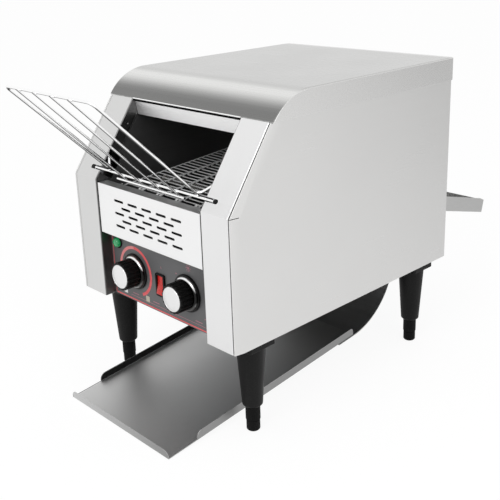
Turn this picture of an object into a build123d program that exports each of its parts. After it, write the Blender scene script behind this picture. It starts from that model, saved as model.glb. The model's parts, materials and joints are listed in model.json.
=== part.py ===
from build123d import *
import os
from math import cos, degrees, hypot, pi, radians, sin, tan

os.makedirs("parts", exist_ok=True)

# Conveyor toaster. X runs across, Y from the front to the rear, Z up from the table.
# Lengths are in millimetres. A "setback" is a distance behind the plane of the front.

# ------------------------------------------------------------------ housing
body_width = 288.0            # over the lips of the top cover
body_depth = 390.0            # front face to rear lip of the cover
leg_height = 117.0            # table to underside of the housing
housing_height = 270.0        # underside of the housing to top of the cover
fold_rise = 152.0             # underside to the fold where the front starts to lean back
front_lean = 54.7             # degrees from horizontal of the leaning front
cover_lip = 29.0              # depth of the cover's lips, and rise of its curved front
sheet = 1.0                   # all folded sheet
border_width = 12.0           # sloped border along the front edges of the side panels
border_fall = 2.4             # how far that border falls inwards
mitre_slit = 0.8              # relief cut across the border at the fold
cover_fold_radius = 1.8
pillar_width = 48.5           # outside of the cover to the inner edge of a front pillar
pillar_gap = 1.8              # shadow gap between pillar, side panel and vent panel
pillar_flange = 15.0          # inner flange, which is also the recess of the controls
pillar_lip = 6.0              # outer flange
pillar_bend = 1.2
running_clearance = 0.05      # shaft in its bush, all round
moving_gap = 0.4              # between pieces that slide or turn past each other

# ------------------------------------------------------------------ front panels
vent_panel_drop = 4.0         # below the fold
vent_panel_height = 63.0
vent_setback = 1.0
slot_length = 18.0
slot_height = 3.0
slot_pitch = 26.5
slot_row_pitch = 7.8
slot_rows = 5
slot_columns = 5
slots_above_centre = 0.0
flange_screw_radius = 1.6
flange_screw_inset = 7.0
control_plate = 1.5
control_plate_margin = 9.0    # the plate runs this far behind the pillars and the vent panel

# ------------------------------------------------------------------ controls
knob_rise = 41.0              # underside to the knobs' axes
knob_spacing = 98.0
knob_skirt_radius = 22.5
knob_skirt_length = 2.6
knob_ring_radius = 19.5
knob_ring_length = 3.2
knob_grip_radius = 17.6
knob_grip_length = 16.6
knob_flute_count = 20
knob_flute_radius = 1.3
knob_cap_radius = 15.6
knob_cap_length = 1.8
knob_shaft_radius = 3.0
knob_shaft_reach = 12.0       # behind the plate
speed_control_radius = 13.0
speed_control_length = 20.0
selector_size = 34.0
selector_length = 28.0
rocker_rise = 36.5
rocker_frame_width = 17.0
rocker_frame_height = 29.0
rocker_frame_proud = 2.4
rocker_frame_rim = 1.7
rocker_body_length = 19.0
rocker_radius = 12.2          # corners of the button from its pivot
rocker_pivot_depth = 4.0      # pivot behind the front of the rim
rocker_tilt = 9.0             # degrees from level at rest, upper half in
rocker_valley = 1.6
lamp_rise = 71.0
lamp_inset = 14.5              # from the inner edge of the pillar
lamp_body_radius = 5.5
lamp_rim_radius = 7.6
lamp_rim = 1.4
lamp_lens_radius = 6.1
lamp_lens_proud = 5.2
lamp_body_length = 16.0

# ------------------------------------------------------------------ chamber
wall_front_setback = 8.0      # chamber walls start this far behind the leaning face
wall_top_gap = 30.0           # below the top of the cover
deflector_drop = 19.0
deflector_lean = 12.0         # degrees, inwards at its lower edge
deflector_flange = 14.0
heat_shield_rise = 97.0
passage_lead = 53.0           # opening in the base plate starts this far ahead of the drive
rear_notch_rise = 95.0        # the walls are cut away under this, behind the chute
wall_screw_hole_radius = 1.8

# ------------------------------------------------------------------ conveyor
idler_setback = 34.0
idler_drop = 28.0             # below the fold
drive_rear_gap = 102.0        # rear face to the drive shaft
belt_slope = 4.3              # degrees, rising to the rear
belt_pitch_radius = 14.0
belt_wire_radius = 1.0
belt_side_gap = 8.5           # ends of the belt's wires to the chamber walls
belt_wires = 75
carrier_thickness = 1.2
carrier_width = 3.0
carrier_count = 6
carrier_inset = 2.0           # outer carriers from the ends of the wires
sprocket_width = 3.0
sprocket_teeth = 11
sprocket_tooth_depth = 1.6
sprocket_hub_radius = 7.0
sprocket_hub_width = 8.0
shaft_radius = 4.0
bush_radius = 7.0
bush_flange_radius = 9.5
bush_flange = 1.2
bush_length = 5.0
idler_overhang = 3.0
chain_inset = 12.5            # centre of the chain from the inside of the side panel
chain_width = 3.0
chain_height = 3.0
driven_sprocket_radius = 18.0
motor_sprocket_radius = 12.0
chain_sprocket_width = 2.4
chain_hub_radius = 7.5
chain_hub_length = 4.0
motor_lead = 88.0             # motor ahead of the drive shaft
motor_rise = 53.0
gearbox_depth = 64.0
gearbox_height = 52.0
gearbox_width = 22.0
motor_radius = 10.0
motor_length = 46.0
bracket_margin = 9.0
bracket_thickness = 1.5

# ------------------------------------------------------------------ heating
tube_radius = 5.0
tube_end_overhang = 8.0       # tube beyond the chamber wall
upper_tube_drop = 31.0        # below the chamber roof
upper_tube_count = 3
upper_tube_setback = 140.0    # first one
upper_tube_rear_gap = 18.0    # last one ahead of the drive shaft
lower_tube_count = 2
lower_tube_setback = 105.0
lower_tube_rear_gap = 78.0
tube_hole_clearance = 0.6
holder_radius = 8.0
holder_length = 13.0

# ------------------------------------------------------------------ chute and trays
exit_tray_angle = 5.9         # degrees, rising to the rear
exit_tray_reach = 62.0        # in front of the front face
exit_tray_side_gap = 0.5      # to the inner edges of the pillars
exit_tray_rear_gap = 85.0     # rear end to the chute's upright wall
exit_tray_rim = 10.0
exit_tray_rim_start = 42.0    # along the slope
exit_tray_corner = 8.0
chute_drop_gap = 36.5         # rear of the belt to the chute's upright wall
chute_radius = 94.0
chute_plate = 1.2
chute_top_rise = 71.0
chute_tail = 30.0
rear_tray_angle = 14.9        # degrees, falling to the rear
rear_tray_rise = 59.4         # underside of the tray at the rear panel
rear_tray_reach = 134.0       # behind the rear face
rear_tray_side_gap = 21.6     # to the inside of the side panels
rear_tray_wall = 20.5
rear_tray_end_wall = 18.5
rear_tray_clearance = 3.0     # from the chute
rail_reach = 11.0
rail_drop = 15.0
window_margin = 3.0           # each side of the rear tray
window_height = 86.0

# ------------------------------------------------------------------ bread rack
rack_slot_along = 14.3        # up the leaning face from the fold to the rod
rack_rod_depth = 1.5          # rod's axis behind the leaning face
rod_radius = 1.4
frame_wire_radius = 1.6
rack_wire_radius = 1.3
rack_rod_beyond = 17.5        # ends of the rod beyond the inner edges of the pillars
rack_side_gap = 15.0          # frame wires inside the inner edges of the pillars
rack_reach = 110.0            # top wire in front of the front face
rack_top_rise = 281.0         # top wire above the underside
rack_corner = 7.0
rack_wire_count = 4
rack_stub = 5.0
rack_lower_bar = 3.0          # beyond the rod
rack_lower_bar_inset = 19.0   # shorter than the frame, each end
rack_arm_along = 40.0         # up the leaning face to the tips of the arms
rack_arm_beyond = 8.5         # tips of the arms beyond the inner edges of the pillars
rack_cap_radius = 1.8
rack_cap_inset = 5.0
rack_cap_length = 6.0
rack_slot_height = 5.4
rack_slot_depth = 19.5
rack_arm_depth = 5.0          # tips of the arms behind the leaning face
rack_weld = 0.3               # crossing wires are sunk this far into each other
rack_relief_below = 5.0       # notch in pillar flange and chamber wall for the arms
rack_relief_above = 28.0
rack_relief_depth = 22.0
hook_beyond = 10.5
hook_plate = 1.5
hook_length = 26.0
hook_depth = 14.0

# ------------------------------------------------------------------ stand and rear
leg_side_inset = 24.8         # from the outside of the cover
leg_end_inset = 43.4          # from the front and the rear
leg_flange = 40.0
leg_flange_height = 9.0
leg_top_radius = 17.0
leg_bottom_radius = 11.7
leg_chamfer = 3.0
leg_bottom = 31.0
leg_bore_depth = 36.0
foot_radius = 8.6
foot_pad_radius = 8.0
foot_pad_height = 13.0
foot_groove = 1.0
foot_chamfer = 1.5
foot_stem_radius = 4.0
foot_stem_length = 30.0
vent_slot_rows = 6
vent_slot_pitch = 9.0
vent_slot_length = 54.0
vent_slot_height = 4.0
vent_slot_inset = 50.6        # ends of the slots from the inside of the side panels
vent_slots_drop = 58.0
gland_inset = 27.6            # from the inside of the side panel
gland_rise = 24.0
gland_hole_radius = 8.0
gland_nut_radius = 12.0
gland_nut = 7.0
gland_bore_radius = 4.0
gland_tail = 16.0
terminal_width = 26.0
terminal_depth = 52.0
terminal_height = 20.0
terminal_rear_gap = 105.0     # its front to the rear face
screw_radius = 3.2
screw_head = 1.8
screw_inset = 9.0

# ------------------------------------------------------------------ derived places
tray_radians = radians(exit_tray_angle)
rear_radians = radians(rear_tray_angle)
lean = radians(front_lean)

top = leg_height + housing_height
fold = leg_height + fold_rise
cover_edge = top - cover_lip
cover_edge_setback = (cover_edge - fold) / tan(lean)
cover_radius = cover_lip / (1 - cos(lean))
inner_half = body_width / 2 - pillar_width
panel_outside = body_width / 2 - sheet
pan_inside = panel_outside - border_fall - sheet
wall_inside = inner_half + sheet
wall_outside = wall_inside + sheet
lamp_side = inner_half - lamp_inset
belt_half = wall_inside - belt_side_gap
carrier_pitch = 2 * (belt_half - carrier_inset) / (carrier_count - 1)
drive_setback = body_depth - drive_rear_gap
motor_setback = drive_setback - motor_lead
passage_front = drive_setback - passage_lead
exit_half = inner_half - exit_tray_side_gap
rear_half = pan_inside - rear_tray_side_gap
rack_half_width = inner_half - rack_side_gap
rack_rod_half = inner_half + rack_rod_beyond
rack_arm_half = inner_half + rack_arm_beyond
rack_wire_pitch = 2 * rack_half_width / (rack_wire_count + 1)
rack_lower_bar_half = rack_half_width - rack_lower_bar_inset
rack_cap_start = rack_rod_half - rack_cap_inset
hook_half = inner_half + hook_beyond
gland_side = pan_inside - gland_inset
vent_slot_side = pan_inside - vent_slot_inset - vent_slot_length / 2

# The bread rack rises forwards from its rod. Its direction is the same at any origin.
rod_setback = rack_slot_along * cos(lean) + rack_rod_depth * sin(lean)
rod_z = fold + rack_slot_along * sin(lean) - rack_rod_depth * cos(lean)
top_wire_z = leg_height + rack_top_rise
rack_run = hypot(rack_reach + rod_setback, top_wire_z - rod_z)
along_y = -(rack_reach + rod_setback) / rack_run
along_z = (top_wire_z - rod_z) / rack_run
across_y = along_z
across_z = -along_y
wire_drop_top = frame_wire_radius + rack_wire_radius - rack_weld

# The origin is below the middle of the whole assembly, trays and rack included.
rack_tip_reach = rack_reach - rack_stub * along_y + (wire_drop_top + rack_wire_radius) * across_y
rear_tip_reach = rear_tray_reach + rear_tray_end_wall * sin(rear_radians)
assembly_depth = rack_tip_reach + body_depth + rear_tip_reach
front = rack_tip_reach - assembly_depth / 2
rear = front + body_depth


def setback(distance):
    """Y of a plane that lies behind the front face."""
    return front + distance


def face_point(along, depth):
    """(Y, Z) of a point up the leaning face, and square behind it."""
    y = front + along * cos(lean) + depth * sin(lean)
    z = fold + along * sin(lean) - depth * cos(lean)
    return (y, z)


def fold_point(depth):
    """(Y, Z) of the fold in a sheet that lies behind the front."""
    return (front + depth, fold - depth * tan((pi / 2 - lean) / 2))


def yz_plane(x):
    return Plane.YZ.offset(x)


face_length = (cover_edge - fold) / sin(lean)
cover_gap = 0.3
pillar_top = face_length - cover_gap
pillar_outside = pan_inside - pillar_gap
roof = top - wall_top_gap
rod_y = front + rod_setback


# ================================================================== housing sheet
side_panel_outline = [
    (front, leg_height),
    (front, fold),
    face_point(pillar_top, 0),
    face_point(pillar_top, 2 * sheet),
    (front + cover_edge_setback + cover_lip, top - cover_lip / 3),
    (rear - sheet, top - cover_lip / 3),
    (rear - sheet, leg_height),
]

for side, sign in (("left", -1), ("right", 1)):
    with BuildPart() as side_panel:
        with BuildSketch(yz_plane(sign * panel_outside)):
            Polygon(*side_panel_outline, align=None)
        extrude(amount=-sign * (panel_outside - pan_inside))
        outer_face = side_panel.faces().sort_by(Axis.X)[-1 if sign > 0 else 0]
        front_edges = outer_face.edges().sort_by(Axis.Y)[0:2]
        chamfer(front_edges, length=border_width, length2=border_fall, reference=outer_face)
        inner_face = side_panel.faces().sort_by(Axis.X)[0 if sign > 0 else -1]
        offset(amount=-sheet, openings=inner_face)
        with BuildSketch(yz_plane(sign * panel_outside)):
            with Locations((front, fold)):
                Rectangle(border_width, mitre_slit, align=(Align.MIN, Align.CENTER))
        extrude(amount=-sign * (panel_outside - pan_inside), mode=Mode.SUBTRACT)
    side_panel.part.label = f"{side}_side_panel"
    export_step(side_panel.part, f"parts/{side}_side_panel.step")

with BuildPart() as top_cover:
    with BuildSketch(yz_plane(-body_width / 2)):
        with BuildLine():
            curve_start = (front + cover_edge_setback, cover_edge)
            curve_end = (front + cover_edge_setback + cover_radius * sin(lean), top)
            RadiusArc(curve_start, curve_end, cover_radius)
            Polyline(curve_end, (rear, top), (rear, cover_edge), curve_start)
        make_face()
    extrude(amount=body_width)
    long_edges = [
        edge
        for edge in top_cover.edges()
        if abs(abs(edge.center().X) - body_width / 2) < 0.01 and edge.center().Z > cover_edge + 1
    ]
    top_edges = [edge for edge in long_edges if edge.center().Y < rear - 1]
    fillet(top_edges, radius=cover_fold_radius)
    under_face = top_cover.faces().sort_by(Axis.Z)[0]
    offset(amount=-sheet, openings=under_face)
top_cover.part.label = "top_cover"
export_step(top_cover.part, "parts/top_cover.step")


def strip_outline(depth):
    """Side view of a sheet or flange that follows the front, from its face to a depth."""
    return [
        (front, leg_height),
        (front, fold),
        face_point(pillar_top, 0),
        face_point(pillar_top, depth),
        fold_point(depth),
        (front + depth, leg_height),
    ]


arm_relief = [
    face_point(rack_slot_along - rack_relief_below, sheet),
    face_point(rack_slot_along + rack_relief_above, sheet),
    face_point(rack_slot_along + rack_relief_above, rack_relief_depth),
    face_point(rack_slot_along - rack_relief_below, rack_relief_depth),
]

for side, sign in (("left", -1), ("right", 1)):
    with BuildPart() as front_pillar:
        with BuildSketch(yz_plane(sign * inner_half)):
            Polygon(*strip_outline(sheet), align=None)
        extrude(amount=sign * (pillar_outside - inner_half))
        with BuildSketch(yz_plane(sign * inner_half)):
            Polygon(*strip_outline(pillar_flange), align=None)
        extrude(amount=sign * sheet)
        with BuildSketch(yz_plane(sign * pillar_outside)):
            Polygon(*strip_outline(pillar_lip), align=None)
        extrude(amount=-sign * sheet)
        bends = [
            edge
            for edge in front_pillar.edges()
            if abs(edge.tangent_at(0.5).X) < 0.01
            and min(abs(abs(edge.center().X) - half) for half in (inner_half, pillar_outside)) < 0.01
            and edge.length > face_length / 2
            and (
                abs(edge.center().Y - front) < 0.01
                or abs(edge.center().Y - face_point(pillar_top / 2, 0)[0]) < 0.5
            )
        ]
        fillet(bends, radius=pillar_bend)
        # slot that takes the end of the rack's rod, rounded at its outer end
        slot_centre = face_point(rack_slot_along, 0)
        slot_plane = Plane(
            origin=(0, slot_centre[0], slot_centre[1]),
            x_dir=(1, 0, 0),
            z_dir=(0, -sin(lean), cos(lean)),
        )
        with BuildSketch(slot_plane):
            with Locations((sign * inner_half, 0)):
                SlotOverall(2 * rack_slot_depth, rack_slot_height)
        extrude(amount=-pillar_flange, mode=Mode.SUBTRACT)
        with BuildSketch(yz_plane(sign * (inner_half - sheet))):
            Polygon(*arm_relief, align=None)
        extrude(amount=sign * 2.5 * sheet, mode=Mode.SUBTRACT)
        screw_spot = face_point(face_length * 0.72, pillar_flange / 2)
        with BuildSketch(yz_plane(sign * (inner_half - sheet))):
            with Locations(screw_spot):
                Circle(wall_screw_hole_radius)
        extrude(amount=sign * 3 * sheet, mode=Mode.SUBTRACT)
    front_pillar.part.label = f"{side}_front_pillar"
    export_step(front_pillar.part, f"parts/{side}_front_pillar.step")

vent_top = fold - vent_panel_drop
vent_bottom = vent_top - vent_panel_height
vent_half = inner_half - pillar_gap

with BuildPart() as vent_panel:
    with BuildSketch(yz_plane(-vent_half)):
        Polygon(
            (setback(vent_setback), vent_bottom),
            (setback(vent_setback), vent_top),
            (setback(pillar_flange), vent_top),
            (setback(pillar_flange), vent_top - sheet),
            (setback(vent_setback + sheet), vent_top - sheet),
            (setback(vent_setback + sheet), vent_bottom + sheet),
            (setback(pillar_flange), vent_bottom + sheet),
            (setback(pillar_flange), vent_bottom),
            align=None,
        )
    extrude(amount=2 * vent_half)
    front_folds = vent_panel.edges().filter_by(Axis.X).group_by(Axis.Y)[0]
    fillet(front_folds, radius=0.8)
    slot_face = Plane.XZ.offset(-setback(vent_setback + sheet))
    with BuildSketch(slot_face):
        for row in range(slot_rows):
            count = slot_columns - row % 2
            height = (vent_top + vent_bottom) / 2 + slots_above_centre
            height += (row - (slot_rows - 1) / 2) * slot_row_pitch
            with Locations((0, height)):
                with GridLocations(slot_pitch, 0, count, 1):
                    SlotOverall(slot_length, slot_height)
    extrude(amount=2 * sheet, mode=Mode.SUBTRACT)
    flange_holes = Plane.XY.offset(vent_top)
    with BuildSketch(flange_holes):
        for x in (-vent_half + flange_screw_inset, vent_half - flange_screw_inset):
            with Locations((x, setback(pillar_flange / 2))):
                Circle(flange_screw_radius)
    extrude(amount=-sheet, mode=Mode.SUBTRACT)
vent_panel.part.label = "vent_front_panel"
export_step(vent_panel.part, "parts/vent_front_panel.step")

# ================================================================== control panel
plate_front = setback(pillar_flange)
plate_rear = plate_front + control_plate
plate_plane = Plane.XZ.offset(-plate_front)
plate_top = vent_bottom + control_plate_margin
plate_half = inner_half + control_plate_margin
knob_height = leg_height + knob_rise
rocker_height = leg_height + rocker_rise
lamp_height = leg_height + lamp_rise
rocker_hole_width = rocker_frame_width - rocker_frame_rim
rocker_hole_height = rocker_frame_height - rocker_frame_rim

with BuildPart() as control_panel:
    with BuildSketch(plate_plane):
        with Locations((0, (leg_height + plate_top) / 2)):
            Rectangle(2 * plate_half, plate_top - leg_height)
        with Locations((-knob_spacing / 2, knob_height), (knob_spacing / 2, knob_height)):
            Circle(knob_shaft_radius + moving_gap, mode=Mode.SUBTRACT)
        with Locations((0, rocker_height)):
            Rectangle(rocker_hole_width, rocker_hole_height, mode=Mode.SUBTRACT)
        with Locations((-lamp_side, lamp_height)):
            Circle(lamp_body_radius, mode=Mode.SUBTRACT)
    extrude(amount=-control_plate)
control_panel.part.label = "control_panel"
export_step(control_panel.part, "parts/control_panel.step")

# ------------------------------------------------------------------ knobs
for name, sign in (("speed", -1), ("heat", 1)):
    knob_x = sign * knob_spacing / 2
    skirt_front = plate_front - moving_gap - knob_skirt_length
    ring_front = skirt_front - knob_ring_length
    grip_front = ring_front - knob_grip_length
    with BuildPart() as knob:
        with BuildSketch(Plane.XZ.offset(-(plate_front - moving_gap))):
            with Locations((knob_x, knob_height)):
                Circle(knob_skirt_radius)
        extrude(amount=knob_skirt_length)
        skirt_rim = knob.edges().group_by(Axis.Y)[0]
        fillet(skirt_rim, radius=0.8)
        with BuildSketch(Plane.XZ.offset(-skirt_front)):
            with Locations((knob_x, knob_height)):
                Circle(knob_grip_radius - 2 * knob_flute_radius)
        extrude(amount=knob_ring_length)
        with BuildSketch(Plane.XZ.offset(-ring_front)):
            with Locations((knob_x, knob_height)):
                Circle(knob_grip_radius)
                with PolarLocations(knob_grip_radius, knob_flute_count):
                    Circle(knob_flute_radius, mode=Mode.SUBTRACT)
        extrude(amount=knob_grip_length)
        with BuildSketch(Plane.XZ.offset(-(plate_front - moving_gap))):
            with Locations((knob_x, knob_height)):
                Circle(knob_shaft_radius)
        extrude(amount=-(moving_gap + control_plate + knob_shaft_reach))
    knob.part.label = f"{name}_knob"
    export_step(knob.part, f"parts/{name}_knob.step")

    with BuildPart() as knob_ring:
        with BuildSketch(Plane.XZ.offset(-skirt_front)):
            with Locations((knob_x, knob_height)):
                Circle(knob_ring_radius)
                Circle(knob_grip_radius - 2 * knob_flute_radius, mode=Mode.SUBTRACT)
        extrude(amount=knob_ring_length)
        ring_rim = knob_ring.edges().group_by(Axis.Y)[0].sort_by(SortBy.LENGTH)[-1]
        fillet(ring_rim, radius=1.2)
    knob_ring.part.label = f"{name}_knob_ring"
    export_step(knob_ring.part, f"parts/{name}_knob_ring.step")

    with BuildPart() as knob_cap:
        with BuildSketch(Plane.XZ.offset(-grip_front)):
            with Locations((knob_x, knob_height)):
                Circle(knob_cap_radius)
        extrude(amount=knob_cap_length)
        cap_rim = knob_cap.edges().group_by(Axis.Y)[0]
        fillet(cap_rim, radius=0.7)
    knob_cap.part.label = f"{name}_knob_cap"
    export_step(knob_cap.part, f"parts/{name}_knob_cap.step")

with BuildPart() as speed_control:
    with BuildSketch(Plane.XZ.offset(-plate_rear)):
        with Locations((-knob_spacing / 2, knob_height)):
            Circle(speed_control_radius)
    extrude(amount=-speed_control_length)
    with BuildSketch(Plane.XZ.offset(-plate_rear)):
        with Locations((-knob_spacing / 2, knob_height)):
            Circle(knob_shaft_radius + running_clearance)
    extrude(amount=-(knob_shaft_reach + moving_gap), mode=Mode.SUBTRACT)
speed_control.part.label = "speed_control"
export_step(speed_control.part, "parts/speed_control.step")

with BuildPart() as heat_selector:
    with BuildSketch(Plane.XZ.offset(-plate_rear)):
        with Locations((knob_spacing / 2, knob_height)):
            Rectangle(selector_size, selector_size)
    extrude(amount=-selector_length)
    fillet(heat_selector.edges().filter_by(Axis.Y), radius=3)
    with BuildSketch(Plane.XZ.offset(-plate_rear)):
        with Locations((knob_spacing / 2, knob_height)):
            Circle(knob_shaft_radius + running_clearance)
    extrude(amount=-(knob_shaft_reach + moving_gap), mode=Mode.SUBTRACT)
heat_selector.part.label = "heat_selector"
export_step(heat_selector.part, "parts/heat_selector.step")

# ------------------------------------------------------------------ rocker and lamp
rocker_front = plate_front - rocker_frame_proud
rocker_inner_width = rocker_hole_width - 2 * rocker_frame_rim
rocker_inner_height = 2 * (rocker_radius + moving_gap)
pivot_y = rocker_front + rocker_pivot_depth

with BuildPart() as rocker_frame:
    with BuildSketch(plate_plane):
        with Locations((0, rocker_height)):
            RectangleRounded(rocker_frame_width, rocker_frame_height, 2.0)
    extrude(amount=rocker_frame_proud)
    bezel_rim = rocker_frame.edges().group_by(Axis.Y)[0]
    fillet(bezel_rim, radius=0.7)
    with BuildSketch(plate_plane):
        with Locations((0, rocker_height)):
            Rectangle(rocker_hole_width, rocker_hole_height)
    extrude(amount=-rocker_body_length)
    with BuildSketch(Plane.XZ.offset(-rocker_front)):
        with Locations((0, rocker_height)):
            Rectangle(rocker_inner_width, rocker_inner_height)
    extrude(amount=-(rocker_frame_proud + rocker_body_length - 1.5), mode=Mode.SUBTRACT)
rocker_frame.part.label = "rocker_frame"
export_step(rocker_frame.part, "parts/rocker_frame.step")

rocker_half_width = rocker_inner_width / 2 - moving_gap
with BuildPart() as rocker_button:
    with BuildSketch(yz_plane(-rocker_half_width)):
        with Locations((pivot_y, rocker_height)):
            Circle(rocker_radius)
        with BuildSketch(mode=Mode.INTERSECT):
            with Locations(Location((pivot_y, rocker_height, 0), (0, 0, -rocker_tilt))):
                Polygon(
                    (-rocker_pivot_depth, -rocker_radius - 1),
                    (-rocker_pivot_depth + rocker_valley, 0),
                    (-rocker_pivot_depth, rocker_radius + 1),
                    (rocker_pivot_depth, rocker_radius + 1),
                    (rocker_pivot_depth, -rocker_radius - 1),
                    align=None,
                )
    extrude(amount=2 * rocker_half_width)
rocker_button.part.label = "rocker_button"
export_step(rocker_button.part, "parts/rocker_button.step")

with BuildPart() as pilot_lamp:
    with BuildSketch(plate_plane):
        with Locations((-lamp_side, lamp_height)):
            Circle(lamp_rim_radius)
    extrude(amount=lamp_rim)
    with BuildSketch(plate_plane):
        with Locations((-lamp_side, lamp_height)):
            Circle(lamp_body_radius)
    extrude(amount=-lamp_body_length)
pilot_lamp.part.label = "pilot_lamp"
export_step(pilot_lamp.part, "parts/pilot_lamp.step")

with BuildPart() as pilot_lens:
    with BuildSketch(Plane.XZ.offset(-(plate_front - lamp_rim))):
        with Locations((-lamp_side, lamp_height)):
            Circle(lamp_lens_radius)
    extrude(amount=lamp_lens_proud)
    fillet(pilot_lens.edges().group_by(Axis.Y)[0], radius=0.8 * lamp_lens_proud)
pilot_lens.part.label = "pilot_lamp_lens"
export_step(pilot_lens.part, "parts/pilot_lamp_lens.step")

# ================================================================== rear and base
rear_face = rear - sheet
panel_front = rear_face - sheet
chute_outer = setback(drive_setback + belt_pitch_radius + chute_drop_gap) + chute_plate
chute_inner = chute_outer - chute_plate
window_bottom = leg_height + rear_tray_rise - moving_gap
window_half = rear_half + window_margin
gland_height = leg_height + gland_rise

with BuildPart() as rear_panel:
    with BuildSketch(Plane.XZ.offset(-rear_face)):
        with Locations((0, leg_height + sheet)):
            Rectangle(2 * pan_inside, top - leg_height - 3 * sheet, align=(Align.CENTER, Align.MIN))
        with Locations((0, window_bottom)):
            Rectangle(
                2 * window_half,
                window_height,
                align=(Align.CENTER, Align.MIN),
                mode=Mode.SUBTRACT,
            )
        with Locations((0, top - vent_slots_drop)):
            with GridLocations(2 * vent_slot_side, vent_slot_pitch, 2, vent_slot_rows):
                SlotOverall(vent_slot_length, vent_slot_height, mode=Mode.SUBTRACT)
        with Locations((-gland_side, gland_height)):
            Circle(gland_hole_radius, mode=Mode.SUBTRACT)
    extrude(amount=sheet)
rear_panel.part.label = "rear_panel"
export_step(rear_panel.part, "parts/rear_panel.step")

base_top = leg_height + sheet
passage_half = inner_half + sheet / 2
leg_side = body_width / 2 - leg_side_inset
leg_places = [
    ("front_left", -leg_side, setback(leg_end_inset)),
    ("front_right", leg_side, setback(leg_end_inset)),
    ("rear_left", -leg_side, rear - leg_end_inset),
    ("rear_right", leg_side, rear - leg_end_inset),
]

with BuildPart() as base_plate:
    with BuildSketch(Plane.XY.offset(leg_height)):
        with Locations((0, plate_rear)):
            Rectangle(2 * pan_inside, panel_front - plate_rear, align=(Align.CENTER, Align.MIN))
        with Locations((0, setback(passage_front))):
            Rectangle(
                2 * passage_half,
                chute_outer - setback(passage_front),
                align=(Align.CENTER, Align.MIN),
                mode=Mode.SUBTRACT,
            )
    extrude(amount=sheet)
base_plate.part.label = "base_plate"
export_step(base_plate.part, "parts/base_plate.step")

# ================================================================== chamber
roof_under = roof - sheet
wall_front_run = (roof_under - fold_point(wall_front_setback)[1]) / sin(lean)
wall_notch = leg_height + rear_notch_rise
idler_y = setback(idler_setback)
idler_z = fold - idler_drop
drive_y = setback(drive_setback)
drive_z = idler_z + (drive_setback - idler_setback) * tan(radians(belt_slope))
tube_end = wall_outside + tube_end_overhang
upper_tube_pitch = (drive_setback - upper_tube_rear_gap - upper_tube_setback) / (upper_tube_count - 1)
lower_tube_pitch = (drive_setback - lower_tube_rear_gap - lower_tube_setback) / (lower_tube_count - 1)
upper_tubes = [
    (setback(upper_tube_setback + number * upper_tube_pitch), roof - upper_tube_drop)
    for number in range(upper_tube_count)
]
lower_tubes = []
for number in range(lower_tube_count):
    place = lower_tube_setback + number * lower_tube_pitch
    lower_tubes.append((setback(place), idler_z + (place - idler_setback) * tan(radians(belt_slope))))

wall_outline = [
    (plate_rear, base_top),
    (plate_rear, plate_top + moving_gap),
    (setback(wall_front_setback), plate_top + moving_gap),
    fold_point(wall_front_setback),
    (
        fold_point(wall_front_setback)[0] + wall_front_run * cos(lean),
        roof_under,
    ),
    (panel_front, roof_under),
    (panel_front, wall_notch),
    (chute_outer, wall_notch),
    (chute_outer, base_top),
]

for side, sign in (("left", -1), ("right", 1)):
    with BuildPart() as chamber_wall:
        with BuildSketch(yz_plane(sign * wall_inside)):
            Polygon(*wall_outline, align=None)
            Polygon(*arm_relief, align=None, mode=Mode.SUBTRACT)
            with Locations((idler_y, idler_z), (drive_y, drive_z)):
                Circle(bush_radius, mode=Mode.SUBTRACT)
            with Locations(*upper_tubes, *lower_tubes):
                Circle(tube_radius + tube_hole_clearance, mode=Mode.SUBTRACT)
        extrude(amount=sign * sheet)
    chamber_wall.part.label = f"{side}_chamber_wall"
    export_step(chamber_wall.part, f"parts/{side}_chamber_wall.step")

deflector_front = setback(cover_edge_setback + 2 * sheet)
with BuildPart() as chamber_roof:
    with BuildSketch(Plane.XY.offset(roof_under)):
        with Locations((0, deflector_front + sheet)):
            Rectangle(
                2 * wall_outside,
                panel_front - deflector_front - sheet,
                align=(Align.CENTER, Align.MIN),
            )
    extrude(amount=sheet)
chamber_roof.part.label = "chamber_roof"
export_step(chamber_roof.part, "parts/chamber_roof.step")

deflector_half = wall_inside - 1.3 * sheet
deflector_shift = deflector_drop * tan(radians(deflector_lean))
with BuildPart() as opening_deflector:
    with BuildSketch(yz_plane(-deflector_half)):
        Polygon(
            (deflector_front, roof_under),
            (deflector_front + deflector_flange, roof_under),
            (deflector_front + deflector_flange, roof_under - sheet),
            (deflector_front + 1.4 * sheet, roof_under - sheet),
            (deflector_front + deflector_shift + sheet, roof_under - deflector_drop),
            (deflector_front + deflector_shift, roof_under - deflector_drop),
            align=None,
        )
    extrude(amount=2 * deflector_half)
opening_deflector.part.label = "opening_deflector"
export_step(opening_deflector.part, "parts/opening_deflector.step")

shield_under = leg_height + heat_shield_rise
shield_rear = drive_y - sprocket_hub_radius
with BuildPart() as heat_shield:
    with BuildSketch(yz_plane(-wall_inside)):
        Polygon(
            (plate_rear, shield_under),
            (plate_rear, shield_under + sheet),
            (shield_rear, shield_under + sheet),
            (setback(passage_front) + sheet, base_top),
            (setback(passage_front) - sheet, base_top),
            (shield_rear - sheet, shield_under),
            align=None,
        )
    extrude(amount=2 * wall_inside)
heat_shield.part.label = "heat_shield"
export_step(heat_shield.part, "parts/heat_shield.step")

# ================================================================== chute and trays
tray_front = setback(-exit_tray_reach)
chute_axis_y = chute_inner - chute_radius
chute_low_y = chute_axis_y + chute_radius * sin(tray_radians)
chute_low_z = (chute_low_y - tray_front) * tan(tray_radians) - moving_gap / cos(tray_radians)
chute_axis_z = chute_low_z + chute_radius * cos(tray_radians)
chute_top = leg_height + chute_top_rise
chute_half = inner_half
tail_y = chute_low_y - chute_tail * cos(tray_radians)
tail_z = chute_low_z - chute_tail * sin(tray_radians)
chute_outer_radius = chute_radius + chute_plate

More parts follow.
